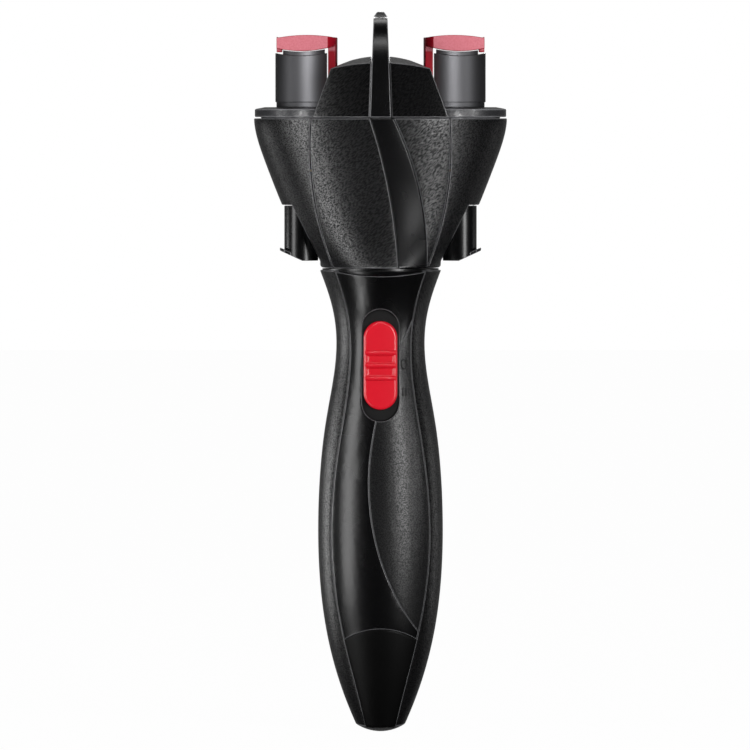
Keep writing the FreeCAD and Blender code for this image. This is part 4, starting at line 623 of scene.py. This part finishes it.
def beyond_straight(height):
    """How far a height lies past the straight sides of the stadium."""
    return max(abs(height) - (PILL_REACH - PILL_HALF), 0)


def pill_half_width(height):
    """Half width of the stadium at a height above the pill's middle."""
    return math.sqrt(max(PILL_HALF ** 2 - beyond_straight(height) ** 2, 0))


def pill_depth(x, height):
    """How far the face lies behind its highest plane: crown, rounded rim and pockets."""
    inset = max(PILL_HALF - math.hypot(x, beyond_straight(height)), 0)
    rim = PILL_RIM - math.sqrt(max(PILL_RIM ** 2 - max(PILL_RIM - inset, 0) ** 2, 0))
    depth = rim + PILL_CROWN * (x / PILL_HALF) ** 2
    for middle in (-RIDGE_PITCH / 2, RIDGE_PITCH / 2):
        across = min(max((POCKET_HALF - abs(x)) / POCKET_WALL, 0), 1)
        along = min(max((POCKET_HEIGHT / 2 - abs(height - middle)) / POCKET_WALL, 0), 1)
        depth += POCKET_DEPTH * min(across, along)
    return depth


print("pill", round(2 * PILL_HALF, 2), "mm wide and", round(2 * PILL_REACH, 2), "mm long")

# %% Slider pill
PILL_ROWS, PILL_COLUMNS = 150, 44
GATHER = 0.35
PILL_TIP, PILL_WELD = 0.02, 0.002
pill = bmesh.new()
rows = []
for row in range(PILL_ROWS + 1):
    even, eased = 2 * row / PILL_ROWS - 1, -math.cos(math.pi * row / PILL_ROWS)
    height = PILL_REACH * eased * GATHER + PILL_REACH * even * (1 - GATHER)
    half = max(pill_half_width(height), PILL_TIP)
    line = []
    for column in range(PILL_COLUMNS + 1):
        x = -half * math.cos(math.pi * column / PILL_COLUMNS)
        y, z = PILL_FACE + pill_depth(x, height), PILL_MIDDLE + height
        line.append(pill.verts.new((x * MM, y * MM, z * MM)))
    rows.append(line)
fill_rows(pill, rows)
rim = [edge for edge in pill.edges if edge.is_boundary]
skirt = bmesh.ops.extrude_edge_only(pill, edges=rim)["geom"]
for point in skirt:
    if isinstance(point, bmesh.types.BMVert):
        point.co.y = PILL_BACK * MM
bmesh.ops.remove_doubles(pill, verts=pill.verts, dist=PILL_WELD * MM)
bmesh.ops.holes_fill(pill, edges=[edge for edge in pill.edges if edge.is_boundary])
bmesh.ops.recalc_face_normals(pill, faces=pill.faces)
pill_mesh = kept(pill, "slider_pill")
print("slider pill", len(pill_mesh.polygons), "faces")

# %% [markdown]
# ## Geometry Nodes kit
# Ridges, screws and springs repeat or follow a rule, so node trees grow them. Copies placed by a
# loop would look the same, but a tree keeps its sizes as named inputs that can be tried out by
# hand. One helper opens a tree with those inputs, another closes it with Realize Instances and Set
# Material, and the last one runs a tree on an object and keeps the plain mesh.


# %% Helpers for Geometry Nodes
def start_tree(name, sizes):
    """A node tree whose inputs are a geometry and named sizes; returns the tree and sockets."""
    tree = bpy.data.node_groups.new(name, "GeometryNodeTree")
    tree.interface.new_socket("Geometry", in_out="INPUT", socket_type="NodeSocketGeometry")
    for label, amount in sizes.items():
        kind = "NodeSocketInt" if isinstance(amount, int) else "NodeSocketFloat"
        socket = tree.interface.new_socket(label, in_out="INPUT", socket_type=kind)
        socket.default_value = amount
    tree.interface.new_socket("Geometry", in_out="OUTPUT", socket_type="NodeSocketGeometry")
    return tree, add(tree, "NodeGroupInput").outputs


def end_tree(tree, shape, finish):
    real = add(tree, "GeometryNodeRealizeInstances", {"Geometry": shape})
    painted = add(tree, "GeometryNodeSetMaterial", {
        "Geometry": real.outputs[0], "Material": MATERIALS[finish]})
    add(tree, "NodeGroupOutput", {0: painted.outputs[0]})


def grown(name, tree, sizes, start=None):
    """Run a tree on an object with its own sizes and keep the mesh that it makes."""
    piece = place_piece(name, start or bpy.data.meshes.new(name + "_start"))
    step = piece.modifiers.new("growth", "NODES")
    step.node_group = tree
    for socket in tree.interface.items_tree:
        if socket.in_out == "INPUT" and socket.name in sizes:
            step[socket.identifier] = sizes[socket.name]
    settle(piece)
    return piece


print("Blender", bpy.app.version_string, "grows the ridges, screws and springs")

# %% [markdown]
# ## Slider ridges
# Each ridge is a bead across the thumb piece: highest in the middle, where it bows forwards with
# the crown, and rounded off at both ends. It could be a scaled sphere, but that narrows over its
# whole length. So a flat ellipse is swept along a bowed line, and the radius of the line drops to
# nothing only near its ends, by the root of one less the eighth power of the place on it. The tree
# makes one ridge and sets it on a row of points.

# %% Ridge shape
RIDGE_INSET, RIDGE_POINTS, BEAD_SIDES = 0.8, 33, 20
RIDGE_SIZES = {"Pitch": RIDGE_PITCH * MM, "Count": 3,
               "Length": 2 * (PILL_HALF - RIDGE_INSET) * MM,
               "Thickness": 2.1 * MM, "Rise": 0.9 * MM, "Crown": 0.5 * MM}
tree, size = start_tree("thumb_ridges", RIDGE_SIZES)
right = add(tree, "ShaderNodeMath", {0: size["Length"], 1: 0.5}, operation="MULTIPLY")
left = add(tree, "ShaderNodeMath", {0: right.outputs[0], 1: -1.0}, operation="MULTIPLY")
start = add(tree, "ShaderNodeCombineXYZ", {"X": left.outputs[0]})
end = add(tree, "ShaderNodeCombineXYZ", {"X": right.outputs[0]})
line = add(tree, "GeometryNodeCurvePrimitiveLine", {0: start.outputs[0], 1: end.outputs[0]})
line = add(tree, "GeometryNodeResampleCurve", {"Curve": line.outputs[0], "Count": RIDGE_POINTS})
along = add(tree, "GeometryNodeSplineParameter").outputs["Factor"]
centred = add(tree, "ShaderNodeMath", {0: along, 1: 2.0, 2: -1.0}, operation="MULTIPLY_ADD")
eighth = add(tree, "ShaderNodeMath", {0: centred.outputs[0], 1: 8.0}, operation="POWER")
less = add(tree, "ShaderNodeMath", {0: 1.0, 1: eighth.outputs[0]}, operation="SUBTRACT")
taper = add(tree, "ShaderNodeMath", {0: less.outputs[0], 1: 0.5}, operation="POWER")
line = add(tree, "GeometryNodeSetCurveRadius", {
    "Curve": line.outputs[0], "Radius": taper.outputs[0]})
square = add(tree, "ShaderNodeMath", {0: centred.outputs[0], 1: 2.0}, operation="POWER")
bow = add(tree, "ShaderNodeMath", {0: square.outputs[0], 1: -1.0}, operation="ADD")
bow = add(tree, "ShaderNodeMath", {0: bow.outputs[0], 1: size["Crown"]}, operation="MULTIPLY")
forwards = add(tree, "ShaderNodeCombineXYZ", {"Y": bow.outputs[0]})
line = add(tree, "GeometryNodeSetPosition", {
    "Geometry": line.outputs[0], "Offset": forwards.outputs[0]})
half = add(tree, "ShaderNodeMath", {0: size["Thickness"], 1: 0.5}, operation="MULTIPLY")
flat = add(tree, "ShaderNodeCombineXYZ", {"X": half.outputs[0], "Y": size["Rise"], "Z": 1.0})
bead = add(tree, "GeometryNodeCurvePrimitiveCircle", {"Resolution": BEAD_SIDES, "Radius": 1.0})
bead = add(tree, "GeometryNodeTransform", {
    "Geometry": bead.outputs[0], "Scale": flat.outputs[0]})
ridge = add(tree, "GeometryNodeCurveToMesh", {
    "Curve": line.outputs[0], "Profile Curve": bead.outputs[0], "Fill Caps": True})
print("ridge", len(tree.nodes), "nodes so far")

# %% Ridge row
gaps = add(tree, "ShaderNodeMath", {0: size["Count"], 1: 1.0}, operation="SUBTRACT")
spread = add(tree, "ShaderNodeMath", {0: gaps.outputs[0], 1: size["Pitch"]},
             operation="MULTIPLY")
below = add(tree, "ShaderNodeMath", {0: spread.outputs[0], 1: -0.5}, operation="MULTIPLY")
lowest = add(tree, "ShaderNodeCombineXYZ", {"Z": below.outputs[0]})
step_up = add(tree, "ShaderNodeCombineXYZ", {"Z": size["Pitch"]})
spots = add(tree, "GeometryNodeMeshLine", {
    "Count": size["Count"], "Start Location": lowest.outputs[0],
    "Offset": step_up.outputs[0]})
row = add(tree, "GeometryNodeInstanceOnPoints", {
    "Points": spots.outputs[0], "Instance": ridge.outputs[0]})
end_tree(tree, row.outputs[0], "slider_red")
ridges = grown("thumb_ridges", tree, RIDGE_SIZES)
print("ridges", len(ridges.data.polygons), "faces")

# %% Slider
RIDGE_SINK, CREASE = 0.45, math.radians(50)
whole = bmesh.new()
whole.from_mesh(ridges.data)
bmesh.ops.translate(whole, verts=whole.verts,
                    vec=Vector((0, PILL_FACE + RIDGE_SINK, PILL_MIDDLE)) * MM)
whole.from_mesh(pill_mesh)
bpy.data.objects.remove(ridges)
slider = place_piece("slider_thumb", kept(whole, "slider_thumb"))
slider.data.set_sharp_from_angle(angle=CREASE)
paint(slider.data, "slider_red")
stand_for(slider, "switch_slider")
print("slider", len(slider.data.polygons), "faces")

# %% [markdown]
# ## Switch marks
# Beside the slider stand two generic marks, an O for off and two bars for on. They are raised by
# a fraction of a millimetre in the moulding. A painted pattern would stay flat in a grazing view,
# so each is drawn as a curve with a round profile, and its points are then dropped on the surface
# behind it, so it follows the curved front.


# %% Helpers for raised marks
def surface_of(*names):
    """A search tree over the solids that form one outer surface."""
    points, faces = [], []
    for name in names:
        mesh = NODES[name].data
        first = len(points)
        points += [vertex.co.copy() for vertex in mesh.vertices]
        faces += [[first + corner for corner in face.vertices] for face in mesh.polygons]
    return BVHTree.FromPolygons(points, faces)


handle_front = surface_of("front_trim", "lens_inlay", "handle_front_shell")
MARK_WIRE, MARK_HEIGHT = 0.28 * MM, 0.7


def mark(name, strokes, x, z):
    """Strokes are lists of (across, up) points in millimetres around the mark's middle."""
    drawing = bpy.data.curves.new(name, "CURVE")
    drawing.dimensions = "3D"
    drawing.bevel_depth, drawing.bevel_resolution = MARK_WIRE, 2
    drawing.use_fill_caps = True
    for points, closed in strokes:
        line = drawing.splines.new("POLY")
        line.points.add(len(points) - 1)
        for point, (across, up) in zip(line.points, points):
            point.co = ((x + across) * MM, 0, (z + up) * MM, 1)
        line.use_cyclic_u = closed
    holder = place_piece(name + "_drawing", drawing)
    mesh = plain_mesh(holder)
    bpy.data.objects.remove(holder)
    for vertex in mesh.vertices:
        hit = front_at(handle_front, vertex.co.x, vertex.co.z)
        if hit:
            vertex.co.y = hit.y + vertex.co.y * MARK_HEIGHT
    mesh.shade_smooth()
    paint(mesh, "mark_ink")
    carry(place_piece(name, mesh), "front_trim")
    print(name, len(mesh.polygons), "faces")


# %% Marks beside the switch
RING_WIDE, RING_HIGH, RING_STEPS = 1.0, 1.75, 32
BAR_OUT, BAR_HIGH, BAR_STEPS = 0.65, 1.7, 8
OFF_SPOT, ON_SPOT = (8.7, 138.1), (8.9, 127.8)
turns = [2 * math.pi * step / RING_STEPS for step in range(RING_STEPS)]
ring = [(RING_WIDE * math.cos(turn), RING_HIGH * math.sin(turn)) for turn in turns]
mark("off_mark", [(ring, True)], *OFF_SPOT)
bars = [[(across, -BAR_HIGH + 2 * BAR_HIGH * step / BAR_STEPS) for step in range(BAR_STEPS + 1)]
        for across in (-BAR_OUT, BAR_OUT)]
mark("on_mark", [(bar, False) for bar in bars], *ON_SPOT)

# %% [markdown]
# ## Housing screws
# Four pan head screws close the housings from the rear. A driver needs a cross recess, so each
# head is half a flattened ball with a cross cut into it. A picture of a cross would do from afar,
# but a real recess catches the light. The four are the same, so the node tree makes one and places
# it on four points.

# %% Screw shape
SCREW_RISE = 1.6
SCREW_SIZES = {"Head": 2.4 * MM, "Rise": SCREW_RISE * MM, "Shank": 1.2 * MM, "Length": 14 * MM,
               "Slot": 0.5 * MM}
BLOCK = 20 * MM
tree, size = start_tree("pan_head_screw", SCREW_SIZES)
dome = add(tree, "GeometryNodeMeshUVSphere", {"Segments": 32, "Rings": 16, "Radius": 1.0})
pan = add(tree, "ShaderNodeCombineXYZ", {"X": size["Head"], "Y": size["Head"], "Z": size["Rise"]})
dome = add(tree, "GeometryNodeTransform", {
    "Geometry": dome.outputs[0], "Scale": pan.outputs[0]})
lower = add(tree, "GeometryNodeMeshCube", {"Size": (BLOCK, BLOCK, BLOCK)})
lower = add(tree, "GeometryNodeTransform", {
    "Geometry": lower.outputs[0], "Translation": (0, 0, -BLOCK / 2)})
arm_size = add(tree, "ShaderNodeCombineXYZ", {
    "X": size["Head"], "Y": size["Slot"], "Z": size["Rise"]})
arm_spot = add(tree, "ShaderNodeCombineXYZ", {"Z": size["Rise"]})
cross = add(tree, "GeometryNodeMeshBoolean", operation="UNION", solver="EXACT")
for turn in (0.0, math.pi / 2):
    arm = add(tree, "GeometryNodeMeshCube", {"Size": arm_size.outputs[0]})
    arm = add(tree, "GeometryNodeTransform", {
        "Geometry": arm.outputs[0], "Rotation": (0, 0, turn),
        "Translation": arm_spot.outputs[0]})
    tree.links.new(arm.outputs[0], cross.inputs["Mesh 2"])
head = add(tree, "GeometryNodeMeshBoolean", {"Mesh 1": dome.outputs[0]},
           operation="DIFFERENCE", solver="EXACT")
for tool in (cross, lower):
    tree.links.new(tool.outputs[0], head.inputs["Mesh 2"])
shank = add(tree, "GeometryNodeMeshCylinder", {
    "Vertices": 24, "Radius": size["Shank"], "Depth": size["Length"]})
down = add(tree, "ShaderNodeMath", {0: size["Length"], 1: -0.5}, operation="MULTIPLY")
shank_spot = add(tree, "ShaderNodeCombineXYZ", {"Z": down.outputs[0]})
shank = add(tree, "GeometryNodeTransform", {
    "Geometry": shank.outputs["Mesh"], "Translation": shank_spot.outputs[0]})
screw = add(tree, "GeometryNodeJoinGeometry")
for shape in (head, shank):
    tree.links.new(shape.outputs[0], screw.inputs[0])
print("screw", len(tree.nodes), "nodes so far")

# %% Four screws
SCREW_PLACES = ((15.2, 107), (10.2, 152))
head_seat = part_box("handle_screws")[1].y / MM - SCREW_RISE
places = [(side * across * MM, head_seat * MM, height * MM) for side in (-1, 1)
          for across, height in SCREW_PLACES]
spots = bpy.data.meshes.new("screw_spots")
spots.from_pydata(places, [], [])
on_spots = add(tree, "GeometryNodeInstanceOnPoints", {
    "Points": size["Geometry"], "Instance": screw.outputs[0],
    "Rotation": (-math.pi / 2, 0, 0)})
end_tree(tree, on_spots.outputs[0], "steel")
screws = grown("housing_screws", tree, SCREW_SIZES, spots)
paint(screws.data, SLOT_OF["handle_screws"])
stand_for(screws, "handle_screws")
print("housing screws", len(screws.data.polygons), "faces")

# %% [markdown]
# ## Return springs
# A spring of music wire under each spindle pushes its tab down again. The wire follows a helix.
# Stacked rings would look like a spring from afar, but they don't join, so the tree sweeps a
# circle along a spiral curve.

# %% Return springs
WIRE, TAB_LIFT = 0.45, 4.5
tree, size = start_tree("wound_spring", {
    "Radius": 5.2 * MM, "Wire": WIRE * MM, "Turns": 4.0, "Height": 9.4 * MM})
helix = add(tree, "GeometryNodeCurveSpiral", {
    "Resolution": 28, "Rotations": size["Turns"], "Start Radius": size["Radius"],
    "End Radius": size["Radius"], "Height": size["Height"]})
section = add(tree, "GeometryNodeCurvePrimitiveCircle", {
    "Resolution": 10, "Radius": size["Wire"]})
coil = add(tree, "GeometryNodeCurveToMesh", {
    "Curve": helix.outputs[0], "Profile Curve": section.outputs[0], "Fill Caps": True})
end_tree(tree, coil.outputs[0], "steel")
for side in ("left", "right"):
    node = "return_spring_" + side
    low, high = (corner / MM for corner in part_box(node))
    x, y, tall = (low.x + high.x) / 2, (low.y + high.y) / 2, high.z - low.z
    spring = grown("wound_" + node, tree, {"Wire": WIRE * MM, "Height": (tall - 2 * WIRE) * MM})
    spring.data.transform(Matrix.Translation(Vector((x, y, low.z + WIRE)) * MM))
    spring.data.shade_smooth()
    paint(spring.data, SLOT_OF[node])
    stand_for(spring, node, "head")
    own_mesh(spring)
    print(spring.name, len(spring.data.polygons), "faces")

# %% [markdown]
# ## Floor
# The braider stands on a white floor that runs into a white surround. White paint alone would
# need much light to look white, and that light would wash out the black plastic. So the floor
# glows plain white for the camera with a trace of matt paint, which keeps a faint shadow. It is
# left out of the reflections and lets the low lamps shine through.


# %% Floor
def seen_directly(tree):
    """The light path, and a value that is 1 for the camera, also through clear pieces."""
    path = add(tree, "ShaderNodeLightPath").outputs
    seen = add(tree, "ShaderNodeMath", {0: path["Is Camera Ray"], 1: path["Is Transmission Ray"]},
               operation="MAXIMUM")
    return path, seen.outputs[0]


FLOOR_HALF, FLOOR_GLOW = 6.0, 0.98
corners = [(x * FLOOR_HALF, y * FLOOR_HALF, 0) for x, y in ((-1, -1), (1, -1), (1, 1), (-1, 1))]
floor_mesh = bpy.data.meshes.new("floor")
floor_mesh.from_pydata(corners, [], [(0, 1, 2, 3)])
floor = place_piece("floor", floor_mesh)
floor.visible_glossy = floor.visible_shadow = False
sweep, tree, place = start_material("pale_floor")
matte = add(tree, "ShaderNodeBsdfDiffuse", {"Color": linear("#ececec")})
white = add(tree, "ShaderNodeEmission", {"Color": linear("#ffffff"), "Strength": 1.0})
path, seen = seen_directly(tree)
share = add(tree, "ShaderNodeMath", {0: seen, 1: FLOOR_GLOW}, operation="MULTIPLY")
blend = add(tree, "ShaderNodeMixShader", {
    0: share.outputs[0], 1: matte.outputs[0], 2: white.outputs[0]})
add(tree, "ShaderNodeOutputMaterial", {"Surface": blend.outputs[0]})
floor_mesh.materials.append(sweep)
print("floor", 2 * FLOOR_HALF, "m wide")

# %% [markdown]
# ## Surround
# Black plastic only shows what it reflects. A white surround would lay a grey veil over every
# black surface, so the surround is white for the camera only. Glossy rays see it dim, dimmest in
# front of the braider and less so behind it, where only the grazing rims of the piece mirror it.
# Diffuse rays get a weak even fill.

# %% Surround
FRONT_LEVEL, BACK_LEVEL, FILL = 0.02, 0.25, 0.25
BACK_START, BACK_FULL = 0.35, 0.95
world = bpy.data.worlds.new("white_surround")
bpy.context.scene.world = world
world.use_nodes = True
tree = world.node_tree
tree.nodes.clear()
path, seen = seen_directly(tree)
way = add(tree, "ShaderNodeTexCoord").outputs["Generated"]
backwards = add(tree, "ShaderNodeSeparateXYZ", {0: way}).outputs[1]
dim = add(tree, "ShaderNodeMapRange", {
    "Value": backwards, "From Min": BACK_START, "From Max": BACK_FULL,
    "To Min": FRONT_LEVEL, "To Max": BACK_LEVEL})
glossy = add(tree, "ShaderNodeMath", {0: path["Is Glossy Ray"], 1: dim.outputs[0]},
             operation="MULTIPLY")
soft = add(tree, "ShaderNodeMath", {0: path["Is Diffuse Ray"], 1: FILL}, operation="MULTIPLY")
level = add(tree, "ShaderNodeMath", {0: seen, 1: glossy.outputs[0]}, operation="MAXIMUM")
level = add(tree, "ShaderNodeMath", {0: level.outputs[0], 1: soft.outputs[0]},
            operation="MAXIMUM")
surround = add(tree, "ShaderNodeBackground", {
    "Color": linear("#ffffff"), "Strength": level.outputs[0]})
add(tree, "ShaderNodeOutputWorld", {"Surface": surround.outputs[0]})
print("surround", FRONT_LEVEL, "in front and", BACK_LEVEL, "behind for glossy rays")

# %% [markdown]
# ## Lamps
# The lamps are placed by the streaks that they leave. Two tall soft lamps stand left and right in
# front and draw the two long streaks on the handle. The neck and the cup lean outwards at their
# upper ends and mirror the space below, so their lamps stand low. Lamps beside the handle light
# the grips. From behind, one pair of lamps draws the edges of the rear pieces, and others reach
# the fin and the posts. One light for all would be simpler, but a lamp that suits one piece glares
# on the next, above all on level tops that it grazes. So some lamps are flagged, as in a real
# studio: they reach one group of pieces only, which Blender's light linking does.


# %% Helpers for lamps
def softbox(name, spot, target, width, height, watts, spread):
    """An area lamp at a spot that looks at a target; spread is its cone in degrees."""
    lamp = bpy.data.lights.new(name, "AREA")
    lamp.shape = "RECTANGLE"
    lamp.size, lamp.size_y, lamp.energy = width, height, watts
    lamp.spread = math.radians(spread)
    holder = place_piece(name, lamp)
    holder.location = spot
    holder.rotation_euler = (spot - Vector(target)).to_track_quat("Z", "Y").to_euler()
    holder.visible_camera = False
    return holder


def around(azimuth, elevation, distance, centre):
    """A spot seen from a centre: azimuth to the right of the front, elevation above level."""
    turn, rise = math.radians(azimuth), math.radians(elevation)
    way = Vector((math.sin(turn) * math.cos(rise), -math.cos(turn) * math.cos(rise),
                  math.sin(rise)))
    return Vector(centre) + distance * way


def flag(holder, nodes, state="INCLUDE"):
    """Let a lamp reach only these solids' dressed pieces, or all but them with EXCLUDE."""
    reach = bpy.data.collections.new(holder.name + "_reach")
    for node in nodes:
        reach.objects.link(DRESSED[node])
    for entry in reach.collection_objects:
        entry.light_linking.link_state = state
    holder.light_linking.receiver_collection = reach
    if state == "INCLUDE":
        holder.light_linking.blocker_collection = reach


# %% Lamps
MIDDLE, CUP, NECK, SLOT = (0, 0, 0.14), (0, 0, 0.2), (0, 0, 0.165), (0, 0, 0.135)
GRIPS, POSTS = (0, 0, 0.075), (0, 0, 0.243)
WIDE, GRIP_SPREAD, NARROW, TIGHT = 180, 45, 28, 14
HEAD = [node for node in DRESSED if BODY_OF[node] == "head" or node.startswith("push_tab")]
PANELS = [node for node in HEAD if node.startswith("cup")]
TURNTABLES, BOTH_POSTS = ["turntable_left", "turntable_right"], ["post_left", "post_right"]
FRONT = ["front_trim", "lens_inlay"]
REAR = ["handle_rear_shell", "battery_cover", "cup_rear_panel"]
# name, azimuth and elevation in degrees, distance in metres, centre, width and height in metres,
# watts, spread in degrees, and the pieces it reaches, or None for all
LAMPS = (
    ("left_softbox", -52, 2, 1.2, MIDDLE, 0.44, 0.8, 6.0, WIDE, None),
    ("right_softbox", 35, 8, 1.2, MIDDLE, 0.34, 0.7, 7.6, WIDE, None),
    ("neck_softbox", -48, -34, 0.45, NECK, 0.12, 0.18, 0.012, NARROW, None),
    ("slot_softbox", 62, -4, 0.45, SLOT, 0.06, 0.08, 0.0022, TIGHT, FRONT),
    ("low_left_softbox", -18, -52, 0.5, CUP, 0.18, 0.17, 0.034, NARROW, HEAD),
    ("low_right_softbox", 42, -50, 0.5, CUP, 0.13, 0.17, 0.022, NARROW, HEAD),
    ("sash_softbox", 54, -46, 0.5, CUP, 0.13, 0.17, 0.03, NARROW, ["head_sash"]),
    ("cup_left_softbox", -50, -14, 0.5, CUP, 0.14, 0.14, 0.009, NARROW, PANELS),
    ("cup_right_softbox", 50, -25, 0.5, CUP, 0.14, 0.14, 0.011, NARROW, PANELS),
    ("left_grip_softbox", -104, 0, 0.35, GRIPS, 0.12, 0.2, 0.034, GRIP_SPREAD, None),
    ("right_grip_softbox", 108, 0, 0.35, GRIPS, 0.08, 0.2, 0.006, GRIP_SPREAD, None),
    ("left_post_softbox", 24, 12, 0.6, POSTS, 0.24, 0.1, 7.5, WIDE, ["post_left"]),
    ("right_post_softbox", -24, 12, 0.6, POSTS, 0.24, 0.1, 7.5, WIDE, ["post_right"]),
    ("turntable_softbox", 0, -10, 0.6, POSTS, 0.14, 0.1, 3.0, WIDE, TURNTABLES),
    ("left_slider_lamp", -11, 18, 0.5, SLOT, 0.04, 0.04, 0.15, WIDE, ["switch_slider"]),
    ("right_slider_lamp", 11, 18, 0.5, SLOT, 0.04, 0.04, 0.15, WIDE, ["switch_slider"]),
    ("dome_right_softbox", 76, 10, 1.2, MIDDLE, 0.2, 0.5, 9.0, WIDE, ["head_dome"]),
    ("top_softbox", 0, 64, 1.2, MIDDLE, 0.5, 0.3, 1.8, WIDE, None),
    ("fin_softbox", 180, 8, 1.2, MIDDLE, 0.3, 0.7, 4.0, WIDE, ["head_fin"]),
    ("rear_left_softbox", -155, 8, 1.2, MIDDLE, 0.3, 0.7, 4.0, WIDE, REAR),
    ("rear_right_softbox", 155, 8, 1.2, MIDDLE, 0.3, 0.7, 4.0, WIDE, REAR),
    ("rear_post_softbox", 180, 16, 0.6, POSTS, 0.3, 0.1, 4.0, WIDE, BOTH_POSTS),
    ("rear_top_softbox", 180, 50, 1.2, MIDDLE, 0.8, 0.3, 1.5, WIDE, None),
)
for name, azimuth, elevation, distance, centre, *shape, lit in LAMPS:
    lamp = softbox(name, around(azimuth, elevation, distance, centre), centre, *shape)
    if lit:
        flag(lamp, lit)
# the dome has a lamp of its own on that side
flag(bpy.data.objects["right_softbox"], ["head_dome"], "EXCLUDE")
bpy.context.scene.view_settings.view_transform = "Standard"
print(len(LAMPS), "lamps")
